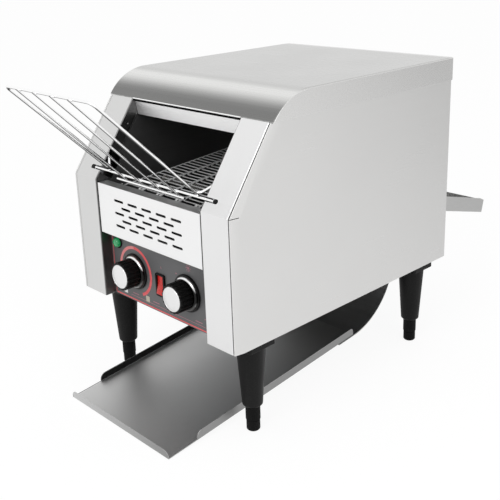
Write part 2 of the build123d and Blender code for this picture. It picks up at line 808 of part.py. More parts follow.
with BuildPart() as rear_chute:
    with BuildSketch(yz_plane(-chute_half)):
        with BuildLine():
            Line((chute_inner, chute_top), (chute_inner, chute_axis_z))
            RadiusArc((chute_inner, chute_axis_z), (chute_low_y, chute_low_z), chute_radius)
            Line((chute_low_y, chute_low_z), (tail_y, tail_z))
            under_tail = (
                tail_y + chute_plate * sin(tray_radians),
                tail_z - chute_plate * cos(tray_radians),
            )
            under_low = (
                chute_axis_y + chute_outer_radius * sin(tray_radians),
                chute_axis_z - chute_outer_radius * cos(tray_radians),
            )
            Line((tail_y, tail_z), under_tail)
            Line(under_tail, under_low)
            RadiusArc(under_low, (chute_outer, chute_axis_z), -chute_outer_radius)
            Line((chute_outer, chute_axis_z), (chute_outer, chute_top))
            Line((chute_outer, chute_top), (chute_inner, chute_top))
        make_face()
    extrude(amount=2 * chute_half)
rear_chute.part.label = "rear_chute"
export_step(rear_chute.part, "parts/rear_chute.step")

rail_rear = chute_outer + rail_reach
rail_top = (
    leg_height
    + rear_tray_rise
    + (rear - rail_rear) * tan(rear_radians)
    - moving_gap / cos(rear_radians)
)
with BuildPart() as tray_support_rail:
    with BuildSketch(yz_plane(-chute_half)):
        Polygon(
            (chute_outer, rail_top),
            (rail_rear, rail_top),
            (rail_rear, rail_top - chute_plate),
            (chute_outer + chute_plate, rail_top - chute_plate),
            (chute_outer + chute_plate, rail_top - rail_drop),
            (chute_outer, rail_top - rail_drop),
            align=None,
        )
    extrude(amount=2 * chute_half)
tray_support_rail.part.label = "tray_support_rail"
export_step(tray_support_rail.part, "parts/tray_support_rail.step")

exit_length = (chute_inner - exit_tray_rear_gap - tray_front) / cos(tray_radians)
exit_origin = (0, tray_front, 0)
exit_floor = Plane(exit_origin, x_dir=(1, 0, 0), z_dir=(0, -sin(tray_radians), cos(tray_radians)))
exit_lip = Plane(exit_origin, x_dir=(1, 0, 0), z_dir=(0, -cos(tray_radians), -sin(tray_radians)))
exit_side = Plane(exit_origin, x_dir=(0, cos(tray_radians), sin(tray_radians)), z_dir=(1, 0, 0))

with BuildPart() as exit_tray:
    with BuildSketch(exit_floor):
        Rectangle(2 * exit_half, exit_length, align=(Align.CENTER, Align.MIN))
    extrude(amount=sheet)
    with BuildSketch(exit_lip) as lip_face:
        Rectangle(2 * exit_half, exit_tray_rim, align=(Align.CENTER, Align.MIN))
        fillet(lip_face.vertices().group_by(Axis.Y)[-1], radius=exit_tray_corner)
    extrude(amount=-sheet)
    for place in (-exit_half, exit_half - sheet):
        with BuildSketch(exit_side.offset(place)) as rim_face:
            with Locations((exit_tray_rim_start, 0)):
                Rectangle(
                    exit_length - exit_tray_rim_start,
                    exit_tray_rim,
                    align=(Align.MIN, Align.MIN),
                )
            upper = rim_face.vertices().group_by(Axis.Y)[-1].sort_by(Axis.X)
            fillet(upper[0], radius=exit_tray_corner)
            fillet(rim_face.vertices().group_by(Axis.Y)[-1].sort_by(Axis.X)[-1], radius=exit_tray_corner / 2)
        extrude(amount=sheet)
exit_tray.part.label = "exit_tray"
export_step(exit_tray.part, "parts/exit_tray.step")

rear_length = rear_tray_reach / cos(rear_radians)
rear_inner = (chute_outer + rear_tray_clearance - rear) / cos(rear_radians)
rear_origin = (0, rear, leg_height + rear_tray_rise)
rear_floor = Plane(rear_origin, x_dir=(1, 0, 0), z_dir=(0, sin(rear_radians), cos(rear_radians)))
rear_side = Plane(rear_origin, x_dir=(0, cos(rear_radians), -sin(rear_radians)), z_dir=(1, 0, 0))

with BuildPart() as rear_tray:
    with BuildSketch(rear_floor):
        with Locations((0, rear_inner)):
            Rectangle(2 * rear_half, rear_length - rear_inner, align=(Align.CENTER, Align.MIN))
    extrude(amount=sheet)
    with BuildSketch(rear_floor):
        with Locations((0, rear_length)):
            Rectangle(2 * rear_half, sheet, align=(Align.CENTER, Align.MAX))
    extrude(amount=rear_tray_end_wall)
    for place in (-rear_half, rear_half - sheet):
        with BuildSketch(rear_side.offset(place)):
            Polygon(
                (rear_inner, 0),
                (rear_inner, rear_tray_wall / 2),
                (rear_inner + rear_tray_wall / 2, rear_tray_wall),
                (rear_length - rear_tray_wall / 2, rear_tray_wall),
                (rear_length, rear_tray_end_wall),
                (rear_length, 0),
                align=None,
            )
        extrude(amount=sheet)
rear_tray.part.label = "rear_tray"
export_step(rear_tray.part, "parts/rear_tray.step")

# ================================================================== bread rack
top_wire_y = setback(-rack_reach)


def rack_point(x, y, z, along, across):
    """A point set off from (y, z) up the rack, and square to it on its upper side."""
    return (x, y + along * along_y + across * across_y, z + along * along_z + across * across_z)


frame_rise = rod_radius + frame_wire_radius - rack_weld
wire_drop = rod_radius + rack_wire_radius - rack_weld
bar_drop = wire_drop + rack_wire_radius + rod_radius - rack_weld
arm_y, arm_z = face_point(rack_arm_along, rack_arm_depth)

with BuildPart() as bread_rack:
    with BuildLine() as frame_path:
        FilletPolyline(
            (-rack_arm_half, arm_y, arm_z),
            rack_point(-rack_half_width, rod_y, rod_z, 0, frame_rise),
            (-rack_half_width, top_wire_y, top_wire_z),
            (rack_half_width, top_wire_y, top_wire_z),
            rack_point(rack_half_width, rod_y, rod_z, 0, frame_rise),
            (rack_arm_half, arm_y, arm_z),
            radius=rack_corner,
        )
    with BuildSketch(Plane(frame_path.line @ 0, z_dir=frame_path.line % 0)):
        Circle(frame_wire_radius)
    sweep(path=frame_path.line)
    with BuildSketch(yz_plane(-rack_rod_half)):
        with Locations((rod_y, rod_z)):
            Circle(rod_radius)
    extrude(amount=2 * rack_rod_half)
    bar_point = rack_point(0, rod_y, rod_z, -rack_lower_bar, -bar_drop)
    with BuildSketch(yz_plane(-rack_lower_bar_half)):
        with Locations(bar_point[1:]):
            Circle(rod_radius)
    extrude(amount=2 * rack_lower_bar_half)
    for number in range(rack_wire_count):
        wire_x = (number - (rack_wire_count - 1) / 2) * rack_wire_pitch
        low = rack_point(wire_x, rod_y, rod_z, -rack_lower_bar - 2 * rod_radius, -wire_drop)
        high = rack_point(wire_x, top_wire_y, top_wire_z, rack_stub, -wire_drop_top)
        wire_axis = Vector(high) - Vector(low)
        with BuildSketch(Plane(low, z_dir=wire_axis)):
            Circle(rack_wire_radius)
        extrude(amount=wire_axis.length)
bread_rack.part.label = "bread_rack"
export_step(bread_rack.part, "parts/bread_rack.step")

with BuildPart() as rod_caps:
    for sign in (-1, 1):
        with BuildSketch(yz_plane(sign * rack_cap_start)):
            with Locations((rod_y, rod_z)):
                Circle(rack_cap_radius)
        extrude(amount=sign * rack_cap_length)
    with BuildSketch(yz_plane(-rack_rod_half)):
        with Locations((rod_y, rod_z)):
            Circle(rod_radius)
    extrude(amount=2 * rack_rod_half, mode=Mode.SUBTRACT)
rod_caps.part.label = "rack_rod_caps"
export_step(rod_caps.part, "parts/rack_rod_caps.step")

for side, sign in (("left", -1), ("right", 1)):
    with BuildPart() as rack_hook:
        with BuildSketch(yz_plane(sign * hook_half)):
            Polygon(
                face_point(rack_slot_along - hook_length / 2, sheet),
                face_point(rack_slot_along + hook_length / 2, sheet),
                face_point(rack_slot_along + hook_length / 2, hook_depth / 2),
                face_point(rack_slot_along + hook_length / 4, hook_depth),
                face_point(rack_slot_along - hook_length / 4, hook_depth),
                face_point(rack_slot_along - hook_length / 2, hook_depth / 2),
                align=None,
            )
            notch_radius = rod_radius + running_clearance
            with Locations((rod_y, rod_z)):
                Circle(notch_radius, mode=Mode.SUBTRACT)
            Polygon(
                face_point(rack_slot_along - notch_radius, 0),
                face_point(rack_slot_along + notch_radius, 0),
                face_point(rack_slot_along + notch_radius, rack_rod_depth),
                face_point(rack_slot_along - notch_radius, rack_rod_depth),
                align=None,
                mode=Mode.SUBTRACT,
            )
        extrude(amount=sign * hook_plate)
    rack_hook.part.label = f"{side}_rack_hook"
    export_step(rack_hook.part, f"parts/{side}_rack_hook.step")

# ================================================================== conveyor
idler_point = (idler_y, idler_z)
drive_point = (drive_y, drive_z)
bush_outside = wall_outside + bush_flange

with BuildPart() as shaft_bushes:
    for sign in (-1, 1):
        for point in (idler_point, drive_point):
            with BuildSketch(yz_plane(sign * bush_outside)):
                with Locations(point):
                    Circle(bush_flange_radius)
            extrude(amount=-sign * bush_flange)
            with BuildSketch(yz_plane(sign * bush_outside)):
                with Locations(point):
                    Circle(bush_radius)
            extrude(amount=-sign * bush_length)
            with BuildSketch(yz_plane(sign * bush_outside)):
                with Locations(point):
                    Circle(shaft_radius + running_clearance)
            extrude(amount=-sign * bush_length, mode=Mode.SUBTRACT)
shaft_bushes.part.label = "shaft_bushes"
export_step(shaft_bushes.part, "parts/shaft_bushes.step")

chain_x = panel_outside - sheet - chain_inset
shaft_left = -bush_outside - idler_overhang
drive_right = chain_x + chain_sprocket_width / 2 + chain_hub_length
for name, point, right_end in (
    ("idler", idler_point, -shaft_left),
    ("drive", drive_point, drive_right),
):
    with BuildPart() as shaft:
        with BuildSketch(yz_plane(shaft_left)):
            with Locations(point):
                Circle(shaft_radius)
        extrude(amount=right_end - shaft_left)
        shaft_ends = shaft.edges().filter_by(GeomType.CIRCLE)
        chamfer(shaft_ends, length=0.5)
    shaft.part.label = f"{name}_shaft"
    export_step(shaft.part, f"parts/{name}_shaft.step")

    with BuildPart() as sprockets:
        for number in range(1, carrier_count // 2):
            place = number * carrier_pitch
            for sign in (-1, 1):
                with BuildSketch(yz_plane(sign * place - sprocket_width / 2)):
                    with Locations(point):
                        Circle(belt_pitch_radius - belt_wire_radius - moving_gap)
                        with PolarLocations(
                            belt_pitch_radius - belt_wire_radius - moving_gap,
                            sprocket_teeth,
                        ):
                            Circle(sprocket_tooth_depth, mode=Mode.SUBTRACT)
                extrude(amount=sprocket_width)
                with BuildSketch(yz_plane(sign * place - sprocket_hub_width / 2)):
                    with Locations(point):
                        Circle(sprocket_hub_radius)
                extrude(amount=sprocket_hub_width)
                with BuildSketch(yz_plane(sign * place - sprocket_hub_width / 2)):
                    with Locations(point):
                        Circle(shaft_radius)
                extrude(amount=sprocket_hub_width, mode=Mode.SUBTRACT)
    sprockets.part.label = f"{name}_sprockets"
    export_step(sprockets.part, f"parts/{name}_sprockets.step")

axle_gap = hypot(drive_y - idler_y, drive_z - idler_z)
belt_angle = radians(belt_slope)
belt_lap = 2 * axle_gap + 2 * pi * belt_pitch_radius


def belt_place(distance):
    """(Y, Z) of a wire's axis after a distance round the belt, from the upper idler end."""
    run = distance % belt_lap
    turn = pi * belt_pitch_radius
    if run < axle_gap:
        along, across = run, belt_pitch_radius
    elif run < axle_gap + turn:
        angle = (run - axle_gap) / belt_pitch_radius
        along = axle_gap + belt_pitch_radius * sin(angle)
        across = belt_pitch_radius * cos(angle)
    elif run < 2 * axle_gap + turn:
        along, across = 2 * axle_gap + turn - run, -belt_pitch_radius
    else:
        angle = (run - 2 * axle_gap - turn) / belt_pitch_radius
        along = -belt_pitch_radius * sin(angle)
        across = -belt_pitch_radius * cos(angle)
    return (
        idler_y + along * cos(belt_angle) - across * sin(belt_angle),
        idler_z + along * sin(belt_angle) + across * cos(belt_angle),
    )


carrier_outer = belt_pitch_radius - 0.7 * belt_wire_radius
carrier_inner = carrier_outer - carrier_thickness
belt_middle = ((idler_y + drive_y) / 2, (idler_z + drive_z) / 2)
with BuildPart() as conveyor_belt:
    for number in range(carrier_count):
        place = carrier_inset - belt_half + number * carrier_pitch
        with BuildSketch(yz_plane(place - carrier_width / 2)):
            with Locations(Location((*belt_middle, 0), (0, 0, belt_slope))):
                SlotCenterToCenter(axle_gap, 2 * carrier_outer)
                SlotCenterToCenter(axle_gap, 2 * carrier_inner, mode=Mode.SUBTRACT)
        extrude(amount=carrier_width)
    with BuildSketch(yz_plane(-belt_half)):
        with Locations([belt_place(belt_lap * n / belt_wires) for n in range(belt_wires)]):
            Circle(belt_wire_radius)
    extrude(amount=2 * belt_half)
conveyor_belt.part.label = "conveyor_belt"
export_step(conveyor_belt.part, "parts/conveyor_belt.step")

# ------------------------------------------------------------------ chain drive
motor_point = (setback(motor_setback), leg_height + motor_rise)
bracket_outside = wall_outside + bracket_thickness
gearbox_outside = bracket_outside + gearbox_width

with BuildPart() as motor_bracket:
    with BuildSketch(yz_plane(wall_outside)):
        with Locations(motor_point):
            RectangleRounded(
                gearbox_depth + 2 * bracket_margin, gearbox_height + 2 * bracket_margin, 4
            )
    extrude(amount=bracket_thickness)
motor_bracket.part.label = "motor_bracket"
export_step(motor_bracket.part, "parts/motor_bracket.step")

with BuildPart() as gear_motor:
    with BuildSketch(yz_plane(bracket_outside)):
        with Locations(motor_point):
            RectangleRounded(gearbox_depth, gearbox_height, 5)
    extrude(amount=gearbox_width)
    gearbox_front = motor_point[0] - gearbox_depth / 2
    with BuildSketch(Plane.XZ.offset(-gearbox_front)):
        with Locations((bracket_outside + gearbox_width / 2, motor_point[1])):
            Circle(motor_radius)
    extrude(amount=motor_length)
    with BuildSketch(yz_plane(bracket_outside)):
        with Locations(motor_point):
            Circle(shaft_radius + running_clearance)
    extrude(amount=gearbox_width, mode=Mode.SUBTRACT)
gear_motor.part.label = "gear_motor"
export_step(gear_motor.part, "parts/gear_motor.step")

for name, point, radius, inner_end in (
    ("motor", motor_point, motor_sprocket_radius, bracket_outside + sheet),
    ("driven", drive_point, driven_sprocket_radius, drive_right),
):
    with BuildPart() as chain_sprocket:
        with BuildSketch(yz_plane(chain_x - chain_sprocket_width / 2)):
            with Locations(point):
                Circle(radius)
        extrude(amount=chain_sprocket_width)
        with BuildSketch(yz_plane(chain_x + chain_sprocket_width / 2)):
            with Locations(point):
                Circle(chain_hub_radius)
        extrude(amount=chain_hub_length)
        if name == "motor":
            with BuildSketch(yz_plane(inner_end)):
                with Locations(point):
                    Circle(shaft_radius)
            extrude(amount=chain_x - inner_end)
        else:
            with BuildSketch(yz_plane(chain_x - chain_sprocket_width / 2)):
                with Locations(point):
                    Circle(shaft_radius)
            extrude(amount=chain_sprocket_width + chain_hub_length, mode=Mode.SUBTRACT)
    chain_sprocket.part.label = f"{name}_sprocket"
    export_step(chain_sprocket.part, f"parts/{name}_sprocket.step")

with BuildPart() as drive_chain:
    with BuildSketch(yz_plane(chain_x - chain_width / 2)):
        with BuildSketch():
            with Locations(motor_point):
                Circle(motor_sprocket_radius + moving_gap + chain_height)
            with Locations(drive_point):
                Circle(driven_sprocket_radius + moving_gap + chain_height)
            make_hull()
        with BuildSketch(mode=Mode.SUBTRACT):
            with Locations(motor_point):
                Circle(motor_sprocket_radius + moving_gap)
            with Locations(drive_point):
                Circle(driven_sprocket_radius + moving_gap)
            make_hull()
    extrude(amount=chain_width)
drive_chain.part.label = "drive_chain"
export_step(drive_chain.part, "parts/drive_chain.step")

# ------------------------------------------------------------------ heating
for name, places in (("upper", upper_tubes), ("lower", lower_tubes)):
    with BuildPart() as heaters:
        with BuildSketch(yz_plane(-tube_end)):
            with Locations(*places):
                Circle(tube_radius)
        extrude(amount=2 * tube_end)
    heaters.part.label = f"{name}_heaters"
    export_step(heaters.part, f"parts/{name}_heaters.step")

with BuildPart() as heater_holders:
    for sign in (-1, 1):
        with BuildSketch(yz_plane(sign * wall_outside)):
            with Locations(*upper_tubes, *lower_tubes):
                Circle(holder_radius)
                Circle(tube_radius, mode=Mode.SUBTRACT)
        extrude(amount=sign * holder_length)
heater_holders.part.label = "heater_holders"
export_step(heater_holders.part, "parts/heater_holders.step")

# ================================================================== legs and feet
leg_flange_bottom = leg_height - leg_flange_height
for name, x, y in leg_places:
    with BuildPart() as leg:
        with BuildSketch(Plane.XY.offset(leg_flange_bottom)):
            with Locations((x, y)):
                RectangleRounded(leg_flange, leg_flange, 3)
        extrude(amount=leg_flange_height)
        with Locations((x, y, (leg_flange_bottom + leg_bottom) / 2)):
            Cone(leg_bottom_radius, leg_top_radius, leg_flange_bottom - leg_bottom)
        chamfer(leg.edges().group_by(Axis.Z)[0], length=leg_chamfer)
        with Locations((x, y, leg_bottom + leg_bore_depth / 2)):
            Cylinder(
                foot_stem_radius + running_clearance,
                leg_bore_depth,
                mode=Mode.SUBTRACT,
            )
    leg.part.label = f"{name}_leg"
    export_step(leg.part, f"parts/{name}_leg.step")

    with BuildPart() as foot:
        with BuildSketch(Plane.XY):
            with Locations((x, y)):
                Circle(foot_pad_radius)
        extrude(amount=foot_pad_height)
        chamfer(foot.edges().group_by(Axis.Z)[0], length=foot_chamfer)
        with BuildSketch(Plane.XY.offset(foot_pad_height)):
            with Locations((x, y)):
                Circle(foot_pad_radius - foot_groove)
        extrude(amount=foot_groove)
        with BuildSketch(Plane.XY.offset(foot_pad_height + foot_groove)):
            with Locations((x, y)):
                Circle(foot_radius)
        extrude(amount=leg_bottom - moving_gap - foot_pad_height - foot_groove)
        with BuildSketch(Plane.XY.offset(leg_bottom - moving_gap)):
            with Locations((x, y)):
                Circle(foot_stem_radius)
        extrude(amount=foot_stem_length)
    foot.part.label = f"{name}_foot"
    export_step(foot.part, f"parts/{name}_foot.step")

# ================================================================== wiring and screws
with BuildPart() as terminal_block:
    with BuildSketch(Plane.XY.offset(base_top)):
        with Locations((-gland_side, rear - terminal_rear_gap)):
            Rectangle(terminal_width, terminal_depth, align=(Align.CENTER, Align.MIN))
    extrude(amount=terminal_height)
    terminal_pitch = terminal_depth / 4
    with BuildSketch(Plane.XY.offset(base_top + terminal_height)):
        with Locations((-gland_side, rear - terminal_rear_gap + terminal_depth / 2)):
            with GridLocations(terminal_width / 2, terminal_pitch, 2, 3):
                Circle(terminal_pitch / 4)
    extrude(amount=-terminal_height / 2, mode=Mode.SUBTRACT)
terminal_block.part.label = "terminal_block"
export_step(terminal_block.part, "parts/terminal_block.step")

with BuildPart() as cord_gland:
    with BuildSketch(Plane.XZ.offset(-rear_face)):
        with Locations((-gland_side, gland_height)):
            RegularPolygon(gland_nut_radius, 6)
    extrude(amount=-gland_nut)
    with BuildSketch(Plane.XZ.offset(-(panel_front - gland_nut))):
        with Locations((-gland_side, gland_height)):
            Circle(gland_hole_radius)
    extrude(amount=-(sheet + 2 * gland_nut + gland_tail))
    with BuildSketch(Plane.XZ.offset(-panel_front)):
        with Locations((-gland_side, gland_height)):
            RegularPolygon(gland_nut_radius, 6)
    extrude(amount=gland_nut)
    with BuildSketch(Plane.XZ.offset(-(panel_front - gland_nut))):
        with Locations((-gland_side, gland_height)):
            Circle(gland_bore_radius)
    extrude(amount=-(sheet + 2 * gland_nut + gland_tail), mode=Mode.SUBTRACT)
cord_gland.part.label = "cord_gland"
export_step(cord_gland.part, "parts/cord_gland.step")

screw_side = pan_inside - screw_inset
screw_places = [
    (sign * screw_side, height)
    for sign in (-1, 1)
    for height in (
        leg_height + screw_inset,
        window_bottom + window_height / 2,
        cover_edge - screw_inset,
    )
]
with BuildPart() as panel_screws:
    with BuildSketch(Plane.XZ.offset(-rear_face)):
        with Locations(*screw_places):
            Circle(screw_radius)
    extrude(amount=-screw_head)
    chamfer(panel_screws.edges().group_by(Axis.Y)[-1], length=screw_head / 3)
panel_screws.part.label = "panel_screws"
export_step(panel_screws.part, "parts/panel_screws.step")
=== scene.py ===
import json
import math

import bmesh
import bpy
from mathutils import Matrix, Vector

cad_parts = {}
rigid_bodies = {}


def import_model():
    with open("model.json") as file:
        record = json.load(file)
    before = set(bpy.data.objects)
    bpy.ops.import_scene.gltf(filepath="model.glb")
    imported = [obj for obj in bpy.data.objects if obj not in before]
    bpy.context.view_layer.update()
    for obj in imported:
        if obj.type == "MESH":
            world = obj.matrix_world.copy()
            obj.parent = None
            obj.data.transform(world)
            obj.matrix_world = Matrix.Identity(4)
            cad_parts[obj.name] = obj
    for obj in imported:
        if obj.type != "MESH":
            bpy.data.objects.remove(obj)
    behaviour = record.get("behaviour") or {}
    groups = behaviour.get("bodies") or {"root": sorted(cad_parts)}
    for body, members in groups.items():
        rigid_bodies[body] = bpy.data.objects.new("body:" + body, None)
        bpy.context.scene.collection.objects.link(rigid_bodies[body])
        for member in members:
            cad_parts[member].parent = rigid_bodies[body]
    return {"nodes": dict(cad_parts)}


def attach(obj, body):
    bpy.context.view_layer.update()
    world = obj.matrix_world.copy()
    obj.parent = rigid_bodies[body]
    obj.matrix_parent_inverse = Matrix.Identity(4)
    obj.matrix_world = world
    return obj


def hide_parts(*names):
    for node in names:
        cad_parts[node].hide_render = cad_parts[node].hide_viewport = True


# An empty scene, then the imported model. All lengths are in metres.
bpy.ops.object.select_all(action="SELECT")
bpy.ops.object.delete()
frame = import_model()
bpy.ops.object.select_all(action="DESELECT")
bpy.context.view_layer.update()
nodes = frame["nodes"]
MM = 0.001

# ---------------- places
front = -206.23 * MM
plate_front = -191.23 * MM
inner_half = 95.5 * MM
knob_height = 158.0 * MM
knob_side = 49.0 * MM
lean = math.radians(54.7)
idler = Vector((0, -172.23 * MM, 241.0 * MM))
drive = Vector((0, 81.77 * MM, 260.098 * MM))
belt_radius = 14.0 * MM
belt_half = 88.0 * MM
belt_wires = 75
belt_joints = (17.2 * MM, 51.6 * MM)
motor = Vector((129.5 * MM, -6.23 * MM, 170.0 * MM))
rod = Vector((0, -196.742 * MM, 279.804 * MM))
top_wire = Vector((0, -316.23 * MM, 398.0 * MM))
ink_thickness = 0.12 * MM
rack_wires = (-48.3 * MM, -16.1 * MM, 16.1 * MM, 48.3 * MM)
rod_radius = 1.4 * MM
frame_wire_radius = 1.6 * MM
rack_wire_radius = 1.3 * MM
fold = 269.0 * MM
cover_edge = Vector((0, front + 63.016 * MM, 358.0 * MM))
top = 387.0 * MM
curve_radius = 68.697 * MM
upper_tubes = ((-66.23 * MM, 326.0 * MM), (-1.23 * MM, 326.0 * MM), (63.77 * MM, 326.0 * MM))
lower_tubes = ((-101.23 * MM, 246.338 * MM), (3.77 * MM, 254.233 * MM))


# ---------------- modelling
def fresh():
    """Nothing selected, object mode."""
    if bpy.context.object and bpy.context.object.mode != "OBJECT":
        bpy.ops.object.mode_set(mode="OBJECT")
    bpy.ops.object.select_all(action="DESELECT")


def only(piece):
    fresh()
    piece.select_set(True)
    bpy.context.view_layer.objects.active = piece


def pick(piece, test, kind="verts"):
    """Selects the vertices, edges or faces of a piece in edit mode that pass a test."""
    modes = {"verts": "VERT", "edges": "EDGE", "faces": "FACE"}
    bpy.ops.mesh.select_mode(type=modes[kind])
    bpy.ops.mesh.select_all(action="DESELECT")
    shape = bmesh.from_edit_mesh(piece.data)
    for item in getattr(shape, kind):
        item.select_set(bool(test(item)))
    shape.select_flush_mode()
    bmesh.update_edit_mesh(piece.data)


def settle(piece):
    """The place of a piece goes into its mesh."""
    only(piece)
    bpy.ops.object.transform_apply(location=True, rotation=True, scale=True)


def round_edges(piece, width, segments=2, angle=30):
    only(piece)
    bevel = piece.modifiers.new("rounding", "BEVEL")
    bevel.width = width
    bevel.segments = segments
    bevel.limit_method = "ANGLE"
    bevel.angle_limit = math.radians(angle)
    bevel.harden_normals = False
    bpy.ops.object.modifier_apply(modifier=bevel.name)


def smooth(piece, angle=35):
    only(piece)
    bpy.ops.object.shade_smooth_by_angle(angle=math.radians(angle))


def level(piece):
    """Large faces keep one shade right up to their rounded edges."""
    only(piece)
    even = piece.modifiers.new("even faces", "WEIGHTED_NORMAL")
    even.weight = 100
    even.keep_sharp = True
    bpy.ops.object.modifier_apply(modifier=even.name)


def finish(piece, name, material, body, stands_for=(), angle=35):
    piece.name = name
    piece.data.name = name
    piece.data.materials.clear()
    piece.data.materials.append(material)
    settle(piece)
    smooth(piece, angle)
    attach(piece, body)
    if stands_for:
        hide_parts(*stands_for)
    return piece


def close_outward():
    """Faces of the piece in edit mode all point out, and edit mode ends."""
    bpy.ops.mesh.select_all(action="SELECT")
    bpy.ops.mesh.normals_make_consistent(inside=False)
    bpy.ops.object.mode_set(mode="OBJECT")


def turned(profile, place, facing="up", vertices=64):
    """A round piece from (radius, height) pairs in millimetres, as on a lathe."""
    fresh()
    profile = [(radius * MM, height * MM) for radius, height in profile]
    radius, height = profile[0]
    bpy.ops.mesh.primitive_circle_add(vertices=vertices, radius=radius, fill_type="NGON")
    piece = bpy.context.object
    bpy.ops.object.mode_set(mode="EDIT")
    bpy.ops.transform.translate(value=(0, 0, height))
    for next_radius, next_height in profile[1:]:
        bpy.ops.mesh.extrude_region_move(
            TRANSFORM_OT_translate={"value": (0, 0, next_height - height)}
        )
        scale = next_radius / radius
        bpy.ops.transform.resize(value=(scale, scale, 1), center_override=(0, 0, next_height))
        radius, height = next_radius, next_height
    close_outward()
    if facing == "front":
        piece.rotation_euler = (math.pi / 2, 0, 0)
    elif facing == "right":
        piece.rotation_euler = (0, math.pi / 2, 0)
    piece.location = place
    settle(piece)
    return piece


def block(low, high, rounding=0.0, segments=2):
    fresh()
    low, high = Vector(low), Vector(high)
    bpy.ops.mesh.primitive_cube_add(size=1, location=(low + high) / 2)
    piece = bpy.context.object
    piece.scale = high - low
    settle(piece)
    if rounding:
        round_edges(piece, rounding, segments)
    return piece


def flat_piece(name, corners, thickness, material):
    """A flat piece on the housing, from its corners and the way it is thick."""
    fresh()
    bpy.ops.mesh.primitive_circle_add(vertices=len(corners), radius=MM, fill_type="NGON")
    piece = bpy.context.object
    for vertex, corner in zip(piece.data.vertices, corners):
        vertex.co = corner
    bpy.ops.object.mode_set(mode="EDIT")
    bpy.ops.mesh.select_all(action="SELECT")
    bpy.ops.mesh.extrude_region_move(TRANSFORM_OT_translate={"value": thickness})
    close_outward()
    return finish(piece, name, material, "housing")


def softened(node, width, segments=2):
    """A copy of a CAD node with its doubles merged and its sharp edges rounded."""
    fresh()
    piece = nodes[node].copy()
    piece.data = nodes[node].data.copy()
    piece.parent = None
    piece.constraints.clear()
    for key in list(piece.keys()):
        del piece[key]
    bpy.context.scene.collection.objects.link(piece)
    piece.matrix_world = nodes[node].matrix_world.copy()
    only(piece)
    bpy.ops.object.mode_set(mode="EDIT")
    bpy.ops.mesh.select_all(action="SELECT")
    bpy.ops.mesh.remove_doubles(threshold=0.000005)
    bpy.ops.mesh.dissolve_limited(angle_limit=math.radians(0.5))
    bpy.ops.object.mode_set(mode="OBJECT")
    round_edges(piece, width, segments)
    return piece


def wire(points, radius, order=2, sides=2, closed=False):
    """A round wire along points, made a mesh."""
    fresh()
    bpy.ops.curve.primitive_nurbs_path_add()
    piece = bpy.context.object
    curve = piece.data
    curve.splines.clear()
    spline = curve.splines.new("NURBS" if order > 2 else "POLY")
    spline.points.add(len(points) - 1)
    for point, place in zip(spline.points, points):
        point.co = (*place, 1)
    spline.use_cyclic_u = closed
    if order > 2:
        spline.order_u = order
        spline.use_endpoint_u = not closed
        spline.resolution_u = 6
    curve.bevel_depth = radius
    curve.bevel_resolution = sides
    curve.use_fill_caps = not closed
    bpy.ops.object.convert(target="MESH")
    return bpy.context.object


def joined(pieces):
    fresh()
    for piece in pieces:
        piece.select_set(True)
    bpy.context.view_layer.objects.active = pieces[0]
    bpy.ops.object.join()
    return bpy.context.object


def copied(piece, matrix):
    twin = piece.copy()
    twin.data = piece.data.copy()
    bpy.context.scene.collection.objects.link(twin)
    twin.matrix_world = matrix
    return twin


# ---------------- effects
def effect(name, inputs, outputs):
    """An empty node group with named sockets, and its input and output nodes."""
    group = bpy.data.node_groups.new(name, "ShaderNodeTree")
    for socket, kind, value in inputs:
        item = group.interface.new_socket(socket, in_out="INPUT", socket_type=kind)
        item.default_value = value
    for socket, kind in outputs:
        group.interface.new_socket(socket, in_out="OUTPUT", socket_type=kind)
    return group, group.nodes.new("NodeGroupInput"), group.nodes.new("NodeGroupOutput")


def join(tree, start, start_socket, end, end_socket):
    tree.links.new(start.outputs[start_socket], end.inputs[end_socket])


def maths(tree, operation, source, socket, *constants):
    """A maths node, from one output and its constants."""
    node = tree.nodes.new("ShaderNodeMath")
    node.operation = operation
    join(tree, source, socket, node, 0)
    for number, constant in enumerate(constants):
        node.inputs[number + 1].default_value = constant
    return node


def brushed_effect():
    """Fine parallel scratches. Stretch is how many scratches per metre along each axis."""
    group, given, made = effect(
        "brushed_lines",
        [("Stretch", "NodeSocketVector", (6.0, 900.0, 900.0))],
        [("Lines", "NodeSocketFloat"), ("Bands", "NodeSocketFloat")],
    )
    place = group.nodes.new("ShaderNodeTexCoord")
    fine = group.nodes.new("ShaderNodeVectorMath")
    fine.operation = "MULTIPLY"
    join(group, place, "Object", fine, 0)
    join(group, given, "Stretch", fine, 1)
    lines = group.nodes.new("ShaderNodeTexNoise")
    lines.inputs["Scale"].default_value = 1.0
    lines.inputs["Detail"].default_value = 3.0
    lines.inputs["Roughness"].default_value = 0.6
    join(group, fine, 0, lines, "Vector")
    join(group, lines, "Fac", made, "Lines")
    broad = group.nodes.new("ShaderNodeVectorMath")
    broad.operation = "SCALE"
    broad.inputs["Scale"].default_value = 0.06
    join(group, fine, 0, broad, 0)
    bands = group.nodes.new("ShaderNodeTexNoise")
    bands.inputs["Scale"].default_value = 1.0
    bands.inputs["Detail"].default_value = 2.0
    join(group, broad, 0, bands, "Vector")
    join(group, bands, "Fac", made, "Bands")
    return group


